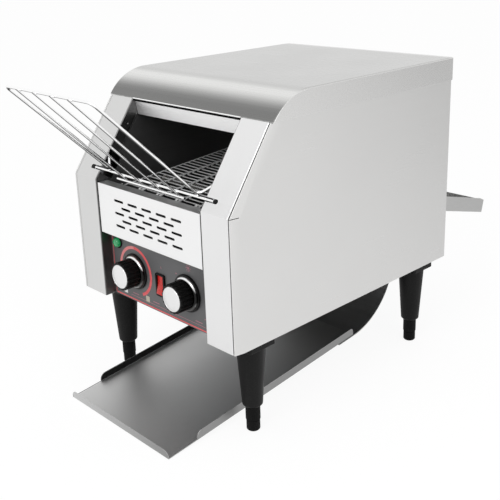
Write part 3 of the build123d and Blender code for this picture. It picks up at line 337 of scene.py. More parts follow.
def handling_effect():
    """Soft patches left by hands and cloths, and fine dust."""
    group, given, made = effect(
        "handling_marks",
        [("Scale", "NodeSocketFloat", 14.0)],
        [("Patches", "NodeSocketFloat"), ("Dust", "NodeSocketFloat")],
    )
    place = group.nodes.new("ShaderNodeTexCoord")
    patches = group.nodes.new("ShaderNodeTexNoise")
    patches.inputs["Detail"].default_value = 4.0
    patches.inputs["Roughness"].default_value = 0.55
    join(group, place, "Object", patches, "Vector")
    join(group, given, "Scale", patches, "Scale")
    join(group, patches, "Fac", made, "Patches")
    dust = group.nodes.new("ShaderNodeTexNoise")
    dust.inputs["Scale"].default_value = 900.0
    dust.inputs["Detail"].default_value = 2.0
    join(group, place, "Object", dust, "Vector")
    join(group, dust, "Fac", made, "Dust")
    return group


def edge_effect():
    """A mask that is high along worn edges."""
    group, given, made = effect(
        "worn_edges",
        [("Width", "NodeSocketFloat", 0.0008), ("Breakup", "NodeSocketFloat", 120.0)],
        [("Edge", "NodeSocketFloat")],
    )
    rounded = group.nodes.new("ShaderNodeBevel")
    rounded.samples = 4
    join(group, given, "Width", rounded, "Radius")
    flat = group.nodes.new("ShaderNodeNewGeometry")
    facing = group.nodes.new("ShaderNodeVectorMath")
    facing.operation = "DOT_PRODUCT"
    join(group, rounded, "Normal", facing, 0)
    join(group, flat, "Normal", facing, 1)
    amount = group.nodes.new("ShaderNodeMapRange")
    amount.inputs["From Min"].default_value = 0.995
    amount.inputs["From Max"].default_value = 0.86
    join(group, facing, "Value", amount, "Value")
    place = group.nodes.new("ShaderNodeTexCoord")
    breakup = group.nodes.new("ShaderNodeTexNoise")
    join(group, place, "Object", breakup, "Vector")
    join(group, given, "Breakup", breakup, "Scale")
    mask = maths(group, "MULTIPLY", amount, "Result")
    join(group, breakup, "Fac", mask, 1)
    join(group, mask, "Value", made, "Edge")
    return group


def facing_effect():
    """How far the surface faces up, from -1 down to 1 up."""
    group, _, made = effect("upward_facing", [], [("Up", "NodeSocketFloat")])
    surface = group.nodes.new("ShaderNodeNewGeometry")
    parts = group.nodes.new("ShaderNodeSeparateXYZ")
    join(group, surface, "Normal", parts, 0)
    join(group, parts, "Z", made, "Up")
    return group


BRUSHED = brushed_effect()
HANDLING = handling_effect()
EDGES = edge_effect()
FACING = facing_effect()


# ---------------- finishes
class Finish:
    """A material with its Principled shader, and short ways to add to it."""

    def __init__(self, name, colour, roughness, metallic=0.0):
        self.material = bpy.data.materials.new(name)
        self.material.use_nodes = True
        self.tree = self.material.node_tree
        self.shader = self.tree.nodes["Principled BSDF"]
        self.colour = colour
        self.roughness = roughness
        self.shader.inputs["Base Color"].default_value = (*colour, 1)
        self.shader.inputs["Roughness"].default_value = roughness
        self.shader.inputs["Metallic"].default_value = metallic

    def effect(self, group, **values):
        node = self.tree.nodes.new("ShaderNodeGroup")
        node.node_tree = group
        for socket, value in values.items():
            node.inputs[socket].default_value = value
        return node

    def spread(self, node, socket, low, high, start=0.3, end=0.7):
        """A mask from start to end becomes a value from low to high."""
        ramp = self.tree.nodes.new("ShaderNodeMapRange")
        ramp.inputs["From Min"].default_value = start
        ramp.inputs["From Max"].default_value = end
        ramp.inputs["To Min"].default_value = low
        ramp.inputs["To Max"].default_value = high
        join(self.tree, node, socket, ramp, "Value")
        return ramp

    def tint(self, node, socket, dark, light, start=0.3, end=0.7, under=None):
        """Base colour from dark to light by a mask. Under is a colour node for the dark end."""
        factor = self.spread(node, socket, 0, 1, start, end)
        mix = self.tree.nodes.new("ShaderNodeMix")
        mix.data_type = "RGBA"
        mix.inputs["A"].default_value = (*dark, 1)
        mix.inputs["B"].default_value = (*light, 1)
        join(self.tree, factor, "Result", mix, "Factor")
        if under:
            self.tree.links.new(under.outputs["Result"], mix.inputs["A"])
        self.tree.links.new(mix.outputs["Result"], self.shader.inputs["Base Color"])
        return mix

    def add(self, first, second, socket):
        """Two values added into a socket of the shader."""
        total = maths(self.tree, "ADD", first, "Result")
        join(self.tree, second, "Result", total, 1)
        join(self.tree, total, "Value", self.shader, socket)

    def position(self):
        """The place on the object, split into X, Y and Z."""
        place = self.tree.nodes.new("ShaderNodeTexCoord")
        parts = self.tree.nodes.new("ShaderNodeSeparateXYZ")
        join(self.tree, place, "Object", parts, 0)
        return parts

    def ramp(self, factor, stops):
        """A colour ramp from (position, colour) stops."""
        bands = self.tree.nodes.new("ShaderNodeValToRGB")
        elements = bands.color_ramp.elements
        for number, (position, colour) in enumerate(stops):
            stop = elements[number] if number < 2 else elements.new(position)
            stop.position = position
            stop.color = (*colour, 1)
        join(self.tree, factor, "Result", bands, "Fac")
        return bands

    def multiplied(self, first, second):
        """One colour multiplied by another. The second comes from a Color output."""
        mix = self.tree.nodes.new("ShaderNodeMix")
        mix.data_type = "RGBA"
        mix.blend_type = "MULTIPLY"
        mix.inputs["Factor"].default_value = 1.0
        self.tree.links.new(first.outputs["Result"], mix.inputs["A"])
        self.tree.links.new(second.outputs["Color"], mix.inputs["B"])
        return mix

    def across(self, stops, under):
        """Multiplies a colour by (x in mm, share) steps from left to right."""
        low, high = stops[0][0], stops[-1][0]
        along = self.spread(self.position(), "X", 0, 1, low * MM, high * MM)
        steps = [((x - low) / (high - low), (share,) * 3) for x, share in stops]
        return self.multiplied(under, self.ramp(along, steps))

    def relief(self, node, socket, strength, distance):
        bump = self.tree.nodes.new("ShaderNodeBump")
        bump.inputs["Strength"].default_value = strength
        bump.inputs["Distance"].default_value = distance
        join(self.tree, node, socket, bump, "Height")
        join(self.tree, bump, "Normal", self.shader, "Normal")


def steel(
    name,
    colour,
    roughness,
    stretch,
    streak=0.05,
    marks=0.05,
    relief=0.15,
    edge=0.1,
    metal=1.0,
    stops=None,
):
    """Brushed sheet: scratches, soft handling marks and brighter worn edges."""
    made = Finish(name, colour, roughness, metallic=metal)
    lines = made.effect(BRUSHED, Stretch=stretch)
    hands = made.effect(HANDLING, Scale=9.0)
    worn = made.effect(EDGES)
    dark = tuple(c * (1 - streak) for c in colour)
    light = tuple(min(1, c * (1 + streak)) for c in colour)
    grain = made.tint(lines, "Lines", dark, light)
    # Stops multiply the colour by painted light and shade across X.
    if stops:
        grain = made.across(stops, grain)
    bright = tuple(min(1, c + edge) for c in colour)
    made.tint(worn, "Edge", colour, bright, 0.0, 0.6, under=grain)
    fine = made.spread(lines, "Lines", roughness - 0.06, roughness + 0.06)
    soft = made.spread(hands, "Patches", -marks, marks)
    made.add(fine, soft, "Roughness")
    made.relief(lines, "Lines", relief, 0.00002)
    return made.material


def plastic(
    name, colour, roughness, grain=0.0, grain_scale=1400.0, coat=0.0, edge=0.03, shine=0.5
):
    """Moulded plastic: fine grain, dust and slightly polished edges."""
    made = Finish(name, colour, roughness)
    hands = made.effect(HANDLING, Scale=30.0)
    worn = made.effect(EDGES)
    light = tuple(min(1, c + edge) for c in colour)
    dusty = tuple(min(1, c + 0.012) for c in colour)
    dust = made.tint(hands, "Dust", colour, dusty, 0.5, 0.8)
    made.tint(worn, "Edge", colour, light, 0.0, 0.7, under=dust)
    low = made.spread(hands, "Patches", roughness - 0.05, roughness + 0.05)
    fine = made.spread(hands, "Dust", -0.02, 0.05)
    made.add(low, fine, "Roughness")
    made.shader.inputs["Coat Weight"].default_value = coat
    made.shader.inputs["Coat Roughness"].default_value = 0.08
    if grain:
        place = made.tree.nodes.new("ShaderNodeTexCoord")
        leather = made.tree.nodes.new("ShaderNodeTexVoronoi")
        leather.inputs["Scale"].default_value = grain_scale
        join(made.tree, place, "Object", leather, "Vector")
        made.relief(leather, "Distance", grain, 0.00006)
    made.shader.inputs["Specular IOR Level"].default_value = shine
    return made.material


def curved_cover_finish():
    """Satin cover with painted reflection bands on its rolled front: darker along its lip and
    brighter above it.
    """
    colour = (0.52, 0.518, 0.51)
    made = Finish("cover_steel", colour, 0.28, metallic=1.0)
    parts = made.position()
    # The turn of the rolled sheet, 0 at the leaning face and 1 where it is level.
    turn = made.spread(parts, "Z", 0, 1, top - curve_radius, top)
    # Painted reflection: the grey at each place along the turn stands for the studio reflected in
    # the curved sheet, the flat top included.
    stops = (
        (0.60, 0.21), (0.69, 0.20), (0.745, 0.23), (0.79, 0.33), (0.83, 0.47),
        (0.866, 0.62), (0.90, 0.72), (0.935, 0.76), (0.955, 0.73), (0.97, 0.63),
        (0.985, 0.54), (1.0, 0.52),
    )
    warmth = 0.985
    bands = made.ramp(turn, [(place, (grey, grey, grey * warmth)) for place, grey in stops])
    across = maths(made.tree, "ABSOLUTE", parts, "X")
    lips = made.spread(across, "Value", 0, 1, 143.6 * MM, 143.9 * MM)
    back = made.spread(parts, "Y", 0, 1, 175 * MM, 180 * MM)
    plain = maths(made.tree, "MAXIMUM", lips, "Result")
    join(made.tree, back, "Result", plain, 1)
    sides = made.tree.nodes.new("ShaderNodeMix")
    sides.data_type = "RGBA"
    sides.inputs["B"].default_value = (0.69, 0.687, 0.68, 1)
    join(made.tree, plain, "Value", sides, "Factor")
    made.tree.links.new(bands.outputs["Color"], sides.inputs["A"])
    lines = made.effect(BRUSHED, Stretch=ACROSS)
    streak = made.spread(lines, "Lines", 0.96, 1.04)
    shade = made.tree.nodes.new("ShaderNodeCombineColor")
    for channel in ("Red", "Green", "Blue"):
        join(made.tree, streak, "Result", shade, channel)
    grain = made.multiplied(sides, shade)
    worn = made.effect(EDGES)
    made.tint(worn, "Edge", colour, (0.80, 0.80, 0.79), 0.0, 0.6, under=grain)
    hands = made.effect(HANDLING, Scale=9.0)
    fine = made.spread(lines, "Lines", 0.23, 0.33)
    soft = made.spread(hands, "Patches", -0.03, 0.03)
    made.add(fine, soft, "Roughness")
    made.relief(lines, "Lines", 0.12, 0.00002)
    return made.material


def wire_finish(name, bright, under, roughness):
    """Bright wire, with painted shade along its underside for the dark reflections a chrome wire
    shows there.
    """
    made = Finish(name, bright, roughness, metallic=1.0)
    way = made.effect(FACING)
    hands = made.effect(HANDLING, Scale=60.0)
    # Painted shade: the colour falls to the dark under colour where the wire faces down.
    made.tint(way, "Up", under, bright, -0.62, -0.18)
    rough = made.spread(hands, "Patches", roughness - 0.05, roughness + 0.08)
    join(made.tree, rough, "Result", made.shader, "Roughness")
    return made.material


def ring_finish():
    """Polished ring with a painted reflection: bright where it faces up, near black where it faces
    sideways, grey where it faces down.
    """
    made = Finish("knob_chrome", (0.90, 0.90, 0.90), 0.10, metallic=1.0)
    way = made.effect(FACING)
    hands = made.effect(HANDLING, Scale=60.0)
    # Painted reflection, by facing: grey below, black sideways, bright above.
    low = made.tint(way, "Up", (0.20, 0.20, 0.20), (0.02, 0.02, 0.02), -0.45, -0.20)
    made.tint(way, "Up", (0.02, 0.02, 0.02), (0.92, 0.92, 0.92), 0.25, 0.50, under=low)
    rough = made.spread(hands, "Patches", 0.06, 0.16)
    join(made.tree, rough, "Result", made.shader, "Roughness")
    return made.material


def belt_finish():
    """Belt wire, with painted shade on the run that lies inside, below the upper run."""
    made = Finish("belt_wire", (0.90, 0.90, 0.90), 0.3, metallic=0.15)
    parts = made.position()
    # Painted shade: below 247.5 mm the wire is near black, above 252 mm near white.
    made.tint(parts, "Z", (0.02, 0.02, 0.02), (0.99, 0.99, 0.99), 247.5 * MM, 252.0 * MM)
    hands = made.effect(HANDLING, Scale=80.0)
    rough = made.spread(hands, "Patches", 0.15, 0.30)
    join(made.tree, rough, "Result", made.shader, "Roughness")
    return made.material


ACROSS = (5.0, 1300.0, 1300.0)
BACK = (1300.0, 5.0, 1300.0)
UPWARD = (1300.0, 1300.0, 5.0)

cover_steel = curved_cover_finish()
# Painted shade: across X, the pillars' inner flanges within 96.4 mm of the middle are darkened to
# a fifth, for the dark they reflect.
FLANGE_SHADE = ((-97.0, 1.0), (-96.6, 1.0), (-96.4, 0.20), (96.4, 0.20), (96.6, 1.0), (97.0, 1.0))
# Painted light and shade across the exit tray: its left rim near black for a dark reflection, a
# painted highlight line at the rim's bend, and a painted fall-off from brighter on the left to
# darker on the right.
TRAY_SHADING = ((-97.0, 0.05), (-93.9, 0.05), (-93.3, 1.7), (-92.5, 1.15), (95.0, 0.60))
# Side panels and both pillars are one satin stainless; their different base greys are painted
# light and shade, set for how brightly each face is lit.
side_steel = steel(
    "side_steel", (0.70, 0.697, 0.69), 0.36, BACK, streak=0.010, relief=0.04, edge=0.25
)
front_steel = steel(
    "front_steel",
    (0.80, 0.80, 0.80),
    0.36,
    UPWARD,
    streak=0.012,
    relief=0.04,
    edge=0.2,
    stops=FLANGE_SHADE,
)
# Painted shade: the left pillar is a darker copy of the pillar steel.
left_shaded_steel = steel(
    "left_shaded_steel",
    (0.68, 0.68, 0.675),
    0.38,
    UPWARD,
    streak=0.012,
    relief=0.04,
    edge=0.2,
    stops=FLANGE_SHADE,
)
vent_steel = steel("vent_steel", (0.88, 0.88, 0.88), 0.38, ACROSS, streak=0.012, relief=0.04)
# Painted light: near white and partly non-metal, so the deflector and the hem read as brightly
# lit.
lip_steel = steel(
    "lip_steel", (0.99, 0.99, 0.99), 0.45, ACROSS, streak=0.01, relief=0.04, metal=0.85
)
tray_finish = steel("tray_finish", (0.50, 0.50, 0.498), 0.48, BACK, streak=0.03, stops=TRAY_SHADING)
rear_tray_finish = steel("rear_tray_finish", (0.55, 0.55, 0.545), 0.45, BACK, streak=0.03)
rear_steel = steel("rear_steel", (0.66, 0.655, 0.65), 0.36, ACROSS, streak=0.03)
# Painted shade: the chamber walls, roof and heat shield are near black for the dark inside of the
# chamber.
dark_steel = steel(
    "shaded_chamber_steel", (0.05, 0.05, 0.05), 0.55, BACK, streak=0.12, edge=0.03, metal=0.3
)
shadow_steel = steel("chute_steel", (0.28, 0.28, 0.28), 0.46, ACROSS, streak=0.08)
zinc_steel = steel("zinc_plate", (0.55, 0.56, 0.57), 0.42, BACK, streak=0.08)
bright_wire = wire_finish("bright_wire", (0.96, 0.96, 0.96), (0.03, 0.03, 0.03), 0.16)
belt_wire = belt_finish()
shaft_steel = steel("ground_steel", (0.60, 0.60, 0.60), 0.24, ACROSS)
chain_steel = steel("oiled_steel", (0.30, 0.29, 0.28), 0.34, ACROSS, streak=0.12)
chrome = ring_finish()
dial_silver = steel(
    "dial_silver", (0.82, 0.82, 0.82), 0.38, ACROSS, streak=0.01, relief=0.03
)
brass = steel("sintered_brass", (0.70, 0.55, 0.28), 0.40, ACROSS)
panel_black = plastic("printed_panel", (0.125, 0.125, 0.128), 0.45, grain=0.06)
knob_black = plastic("knob_black", (0.004, 0.004, 0.004), 0.30, edge=0.005, shine=0.14)
leg_black = plastic(
    "leg_black", (0.005, 0.005, 0.005), 0.50, grain=0.2, grain_scale=900.0, shine=0.18
)
foot_black = plastic(
    "foot_rubber", (0.004, 0.004, 0.004), 0.62, grain=0.3, grain_scale=700.0, shine=0.1
)
switch_black = plastic("switch_black", (0.004, 0.004, 0.004), 0.34, edge=0.01, shine=0.12)
# Painted shadow: the black put into gaps.
painted_gap_black = plastic("gap_shadow", (0.003, 0.003, 0.003), 0.9, edge=0.0, shine=0.0)
switch_red = plastic("switch_red", (0.66, 0.02, 0.015), 0.24, coat=0.25, shine=0.3)
motor_grey = plastic("motor_case", (0.20, 0.21, 0.22), 0.45, grain=0.15)
ceramic = plastic("ceramic", (0.86, 0.84, 0.78), 0.6, grain=0.3)
terminal_white = plastic("terminal_white", (0.82, 0.82, 0.80), 0.45)
print_red = plastic("print_red", (0.90, 0.13, 0.14), 0.5)
print_rose = plastic("print_rose", (0.92, 0.30, 0.30), 0.5)
print_white = plastic("print_white", (0.90, 0.90, 0.89), 0.5)
print_beige = plastic("print_beige", (0.62, 0.56, 0.45), 0.5)
print_pink = plastic("print_pink", (0.50, 0.20, 0.25), 0.5)


def lens_finish():
    made = Finish("lamp_green", (0.01, 0.42, 0.14), 0.12)
    hands = made.effect(HANDLING, Scale=200.0)
    made.tint(hands, "Patches", (0.01, 0.36, 0.12), (0.02, 0.50, 0.18))
    made.shader.inputs["Transmission Weight"].default_value = 0.35
    made.shader.inputs["Coat Weight"].default_value = 0.6
    made.shader.inputs["Emission Color"].default_value = (0.01, 0.5, 0.12, 1)
    made.shader.inputs["Emission Strength"].default_value = 0.15
    return made.material


def quartz_finish():
    made = Finish("quartz", (0.92, 0.90, 0.87), 0.12)
    hands = made.effect(HANDLING, Scale=60.0)
    rough = made.spread(hands, "Patches", 0.08, 0.24)
    join(made.tree, rough, "Result", made.shader, "Roughness")
    made.shader.inputs["Transmission Weight"].default_value = 0.9
    return made.material


lamp_green = lens_finish()
quartz = quartz_finish()


# ---------------- folded sheet and mouldings
# Each keeps the shape of its CAD node, with its cut and folded edges rounded.
skins = [
    ("top_cover", 0.25, cover_steel, "satin_stainless", "housing"),
    ("left_side_panel", 0.3, side_steel, "satin_stainless", "housing"),
    ("right_side_panel", 0.3, side_steel, "satin_stainless", "housing"),
    ("left_front_pillar", 0.25, left_shaded_steel, "satin_stainless", "housing"),
    ("right_front_pillar", 0.25, front_steel, "satin_stainless", "housing"),
    ("vent_front_panel", 0.2, vent_steel, "satin_stainless", "housing"),
    ("rear_panel", 0.2, rear_steel, "satin_stainless", "housing"),
    ("exit_tray", 0.25, tray_finish, "tray_steel", "exit_tray"),
    ("rear_tray", 0.25, rear_tray_finish, "tray_steel", "rear_tray"),
    ("opening_deflector", 0.2, lip_steel, "chamber_steel", "housing"),
    ("rocker_frame", 0.3, switch_black, "switch_black", "housing"),
    ("cord_gland", 0.4, switch_black, "switch_black", "housing"),
]
for corner in ("front_left", "front_right", "rear_left", "rear_right"):
    skins.append((f"{corner}_leg", 0.7, leg_black, "leg_black", "housing"))
    skins.append((f"{corner}_foot", 0.5, foot_black, "foot_black", f"{corner}_foot"))
for node, width, material, slot, body in skins:
    piece = softened(node, width * MM, 2)
    finish(piece, f"{node}_skin", material, body, (node,))
    level(piece)

for material, carried in (
    (dark_steel, ("left_chamber_wall", "right_chamber_wall", "chamber_roof", "heat_shield")),
    (shadow_steel, ("rear_chute",)),
    (rear_tray_finish, ("tray_support_rail",)),
    (zinc_steel, ("base_plate", "left_rack_hook", "right_rack_hook", "motor_bracket")),
    (zinc_steel, ("drive_sprockets", "idler_sprockets")),
    (shaft_steel, ("panel_screws", "drive_shaft", "idler_shaft")),
    (bright_wire, ("bread_rack",)),
    (switch_black, ("rack_rod_caps",)),
    (belt_wire, ("conveyor_belt",)),
    (chain_steel, ("driven_sprocket", "motor_sprocket", "drive_chain")),
    (brass, ("shaft_bushes",)),
    (motor_grey, ("gear_motor", "speed_control")),
    (quartz, ("upper_heaters", "lower_heaters")),
    (ceramic, ("heater_holders", "heat_selector")),
    (panel_black, ("control_panel",)),
    (terminal_white, ("terminal_block",)),
):
    for node in carried:
        for material_slot in nodes[node].material_slots:
            material_slot.material = material


# ---------------- seams, with black strips of painted shadow in the gaps
def strip(name, outline, low_x, high_x, material):
    """A flat strip from (y, z) corners, between two places across the housing."""
    corners = [(low_x, y, z) for y, z in outline]
    return flat_piece(name, corners, (high_x - low_x, 0, 0), material)


def behind_face(along, depth):
    """(y, z) up the leaning face and square behind it."""
    return (
        front + along * math.cos(lean) + depth * math.sin(lean),
        fold + along * math.sin(lean) - depth * math.cos(lean),
    )


def seam_outline(low, along, near, far):
    """A band between two depths behind the upright face and the leaning face."""
    bend = math.tan((math.pi / 2 - lean) / 2)
    return [
        (front + near, low),
        (front + near, fold - near * bend),
        behind_face(along, near),
        behind_face(along, far),
        (front + far, fold - far * bend),
        (front + far, low),
    ]


face_length = (cover_edge.z - fold) / math.sin(lean)
side_seam_near, side_seam_far = 137.9 * MM, 139.5 * MM
vent_low, vent_high = 202.5 * MM, 263.0 * MM
# Strips set into the gaps beside the pillars and the vent panel. The black ones are painted
# shadow; the left pillar's strip is steel and fills its gap almost flush.
for name, sign, depth, seam_finish in (
    ("left", -1, 0.15 * MM, left_shaded_steel),
    ("right", 1, 1.3 * MM, painted_gap_black),
):
    side_seam = seam_outline(117.4 * MM, face_length - 1.0 * MM, depth, 4.8 * MM)
    near_x, far_x = sorted((sign * side_seam_near, sign * side_seam_far))
    strip(f"{name}_pillar_gap_strip", side_seam, near_x, far_x, seam_finish)
    near_x, far_x = sorted((sign * (inner_half - 1.7 * MM), sign * (inner_half - 0.1 * MM)))
    vent_seam = [
        (front + 1.15 * MM, vent_low),
        (front + 1.15 * MM, vent_high),
        (front + 5.0 * MM, vent_high),
        (front + 5.0 * MM, vent_low),
    ]
    strip(f"{name}_vent_shadow_strip", vent_seam, near_x, far_x, painted_gap_black)
# A black strip under the cover's hem: painted shadow.
shade_front, shade_back = cover_edge.y + 1.6 * MM, cover_edge.y + 1.9 * MM
shade_low, shade_high = 354.0 * MM, 356.6 * MM
hem_shade = [
    (shade_front, shade_low),
    (shade_front, shade_high),
    (shade_back, shade_high),
    (shade_back, shade_low),
]
shade_half = inner_half - 0.5 * MM
strip("cover_hem_shadow_strip", hem_shade, -shade_half, shade_half, painted_gap_black)
hem_y, hem_z = cover_edge.y + 0.45 * MM, cover_edge.z - 0.35 * MM
hem = wire([(-95.2 * MM, hem_y, hem_z), (95.2 * MM, hem_y, hem_z)], 0.85 * MM, sides=3)
finish(hem, "cover_hem", lip_steel, "housing", angle=60)

# ---------------- knobs
skirt_back = plate_front - 0.4 * MM
flutes = 20
ring_radius = 20.5
flute_steps = 8
for name, side in (("speed", -1), ("heat", 1)):
    centre = Vector((side * knob_side, skirt_back, knob_height))
    grip = turned(
        [
            (22.1, 0.0), (22.5, 0.4), (22.5, 1.6), (22.0, 2.4), (21.2, 2.6), (15.5, 2.6),
            (15.5, 5.8), (17.0, 5.8), (17.5, 6.4), (17.5, 14.0), (17.5, 22.4), (17.3, 23.2),
            (16.9, 23.7), (15.3, 23.7), (14.9, 23.3),
        ],
        centre,
        facing="front",
        vertices=flutes * flute_steps,
    )
    only(grip)
    bpy.ops.object.mode_set(mode="EDIT")
    step = math.tau / (flutes * flute_steps)
    for offset, scale in ((0, 0.92), (1, 0.935), (2, 0.97)):

        def in_flute(vertex):
            flat = vertex.co - centre
            reach = math.hypot(flat.x, flat.z)
            number = round(math.atan2(flat.z, flat.x) / step) % flute_steps
            far = min(number, flute_steps - number)
            return far == offset and -flat.y > 5.75 * MM and reach > 16.0 * MM

        pick(grip, in_flute)
        bpy.ops.transform.resize(value=(scale, 1, scale), center_override=centre)
    bpy.ops.object.mode_set(mode="OBJECT")
    knob, ring, cap = f"{name}_knob", f"{name}_knob_ring", f"{name}_knob_cap"
    finish(grip, f"{knob}_grip", knob_black, knob, (knob,))
    bezel = turned(
        [
            (15.6, 2.6), (ring_radius - 0.1, 2.6), (ring_radius, 3.0),
            (ring_radius - 0.3, 4.0), (ring_radius - 1.1, 5.0), (17.8, 5.75), (15.6, 5.75),
        ],
        centre,
        facing="front",
        vertices=96,
    )
    finish(bezel, f"{knob}_bezel", chrome, knob, (ring,))
    dial = turned(
        [
            (14.7, 22.0), (14.8, 23.3), (14.6, 23.9), (14.3, 24.2), (14.0, 24.2),
            (13.8, 23.9), (13.6, 23.9), (13.3, 24.1), (6.0, 23.95), (0.4, 23.9),
        ],
        centre,
        facing="front",
        vertices=96,
    )
    finish(dial, f"{knob}_dial", dial_silver, knob, (cap,))

# ---------------- lamp and rocker
lamp = Vector((-81.0 * MM, plate_front, 188.0 * MM))
rim = turned(
    [
        (5.4, -16.0), (5.5, -15.6), (5.5, 0.0), (7.4, 0.0), (7.6, 0.3), (7.6, 1.0),
        (7.2, 1.4), (6.3, 1.4),
    ],
    lamp,
    facing="front",
    vertices=64,
)
finish(rim, "pilot_lamp_rim", switch_black, "housing", ("pilot_lamp",))
lens = turned(
    [
        (6.1, 1.4), (6.1, 2.2), (5.9, 3.4), (5.4, 4.5), (4.6, 5.5), (3.4, 6.2), (1.8, 6.55),
        (0.3, 6.6),
    ],
    lamp,
    facing="front",
    vertices=48,
)
finish(lens, "pilot_lamp_dome", lamp_green, "housing", ("pilot_lamp_lens",))

button = softened("rocker_button", 0.5 * MM, 3)
finish(button, "rocker_paddle", switch_red, "rocker", ("rocker_button",), angle=50)


# ---------------- printed panel
def printed(name, outline, material):
    """A thin printed shape on the control plate, from (x, z) corners."""
    corners = [(x, plate_front, z) for x, z in outline]
    return flat_piece(name, corners, (0, -ink_thickness, 0), material)


def arc(centre_x, centre_z, radius, start, end, count):
    return [
        (
            centre_x + radius * math.cos(math.radians(start + (end - start) * n / count)),
            centre_z + radius * math.sin(math.radians(start + (end - start) * n / count)),
        )
        for n in range(count + 1)
    ]


def bar(x0, z0, x1, z1):
    return [(x0, z0), (x1, z0), (x1, z1), (x0, z1)]


edge_x, low_z, high_z, line = inner_half - 1.9 * MM, 118.2 * MM, 200.0 * MM, 1.5 * MM
printed("border_left", bar(-edge_x, low_z, -edge_x + 1.0 * MM, high_z), print_red)
printed("border_right", bar(edge_x - 1.0 * MM, low_z, edge_x, high_z), print_red)
printed("border_low", bar(-edge_x, low_z, edge_x, low_z + line), print_red)
for number in range(12):
    start = 172 - number * 20
    piece_of_scale = arc(-knob_side, knob_height, 31.6 * MM, start, start - 20.5, 6) + arc(
        -knob_side, knob_height, 27.8 * MM, start - 20.5, start, 6
    )
    ink = print_rose if number < 4 else print_red
    printed(f"speed_scale_{number}", piece_of_scale, ink)
printed("scale_line", bar(-62 * MM, 123.6 * MM, 86 * MM, 124.1 * MM), print_pink)
printed("light_slice", bar(-76.5 * MM, 123.2 * MM, -69.5 * MM, 131.5 * MM), print_white)
printed("dark_slice", bar(-32.0 * MM, 123.2 * MM, -25.0 * MM, 131.0 * MM), print_beige)
sun_x, sun_z = 52.0 * MM, 189.0 * MM
for number in range(8):
    way = math.radians(45 * number)
    along_x, along_z = math.cos(way), math.sin(way)
    ray = [
        (sun_x + reach * along_x - wide * along_z, sun_z + reach * along_z + wide * along_x)
        for reach, wide in (
            (2.4 * MM, -0.35 * MM),
            (4.4 * MM, -0.35 * MM),
            (4.4 * MM, 0.35 * MM),
            (2.4 * MM, 0.35 * MM),
        )
    ]
    printed(f"heat_mark_ray_{number}", ray, print_pink)
printed("heat_mark", arc(sun_x, sun_z, 1.5 * MM, 0, 345, 23), print_pink)
for name, x, z, wide, high in (
    ("rocker_mark_on", 1.6, 176.0, 0.6, 3.2),
    ("heat_dot_low", 29.5, 176.5, 1.5, 1.5),
    ("heat_dot_high", 77.0, 134.0, 1.5, 1.5),
    ("low_mark_left", -52.0, 127.4, 12.0, 0.9),
    ("low_mark_middle", -12.0, 127.4, 12.0, 0.9),
    ("low_mark_right", 24.0, 127.4, 12.0, 0.9),
    ("low_mark_far", 66.0, 127.4, 12.0, 0.9),
):
    shape = bar((x - wide / 2) * MM, (z - high / 2) * MM, (x + wide / 2) * MM, (z + high / 2) * MM)
    printed(name, shape, print_pink)

# ---------------- wire belt
lap_line = drive - idler
lap_run = lap_line.length
lap_turn = math.pi * belt_radius
lap = 2 * lap_run + 2 * lap_turn
pitch = lap / belt_wires
slope = math.atan2(lap_line.z, lap_line.y)


def belt_spot(distance):
    """(y, z, turn) of a wire after a distance round the belt."""
    run = distance % lap
    if run < lap_run:
        along, across, turn = run, belt_radius, 0.0
    elif run < lap_run + lap_turn:
        turn = (run - lap_run) / belt_radius
        along, across = lap_run + belt_radius * math.sin(turn), belt_radius * math.cos(turn)
    elif run < 2 * lap_run + lap_turn:
        along, across, turn = 2 * lap_run + lap_turn - run, -belt_radius, math.pi
    else:
        turn = math.pi + (run - 2 * lap_run - lap_turn) / belt_radius
        across = belt_radius * math.cos(turn)
        along = belt_radius * math.sin(turn)
    y = idler.y + along * math.cos(slope) - across * math.sin(slope)
    z = idler.z + along * math.sin(slope) + across * math.cos(slope)
    return y, z, turn


belt_wire_radius = 0.65 * MM
hook_half = 1.2 * MM
reach = pitch + 1.9 * MM
path = [(-belt_half, reach - 1.2 * MM, 0.2 * MM), (-belt_half, 1.0 * MM, -0.3 * MM)]
for joint in sorted([-j for j in belt_joints] + list(belt_joints)):
    path += [
        (joint - hook_half - 1.2 * MM, 0.0, -0.4 * MM),
        (joint - hook_half, 0.9 * MM, -0.2 * MM),
        (joint - hook_half, pitch - 1.6 * MM, 1.2 * MM),
        (joint - hook_half * 0.8, reach - 0.4 * MM, 0.6 * MM),
        (joint, reach, 0.0),
        (joint + hook_half * 0.8, reach - 0.4 * MM, 0.6 * MM),
        (joint + hook_half, pitch - 1.6 * MM, 1.2 * MM),
        (joint + hook_half, 0.9 * MM, -0.2 * MM),
        (joint + hook_half + 1.2 * MM, 0.0, -0.4 * MM),
    ]
path += [(belt_half, 1.0 * MM, -0.3 * MM), (belt_half, reach - 1.2 * MM, 0.2 * MM)]
link = wire(path, belt_wire_radius, sides=1)
links = []
for number in range(belt_wires):
    y, z, turn = belt_spot(number * pitch)
    place = Matrix.Translation((0, y, z)) @ Matrix.Rotation(slope - turn, 4, "X")
    links.append(copied(link, place))
bpy.data.objects.remove(link)
belt = joined(links)
finish(belt, "woven_belt", belt_wire, "housing", ("conveyor_belt",), angle=60)

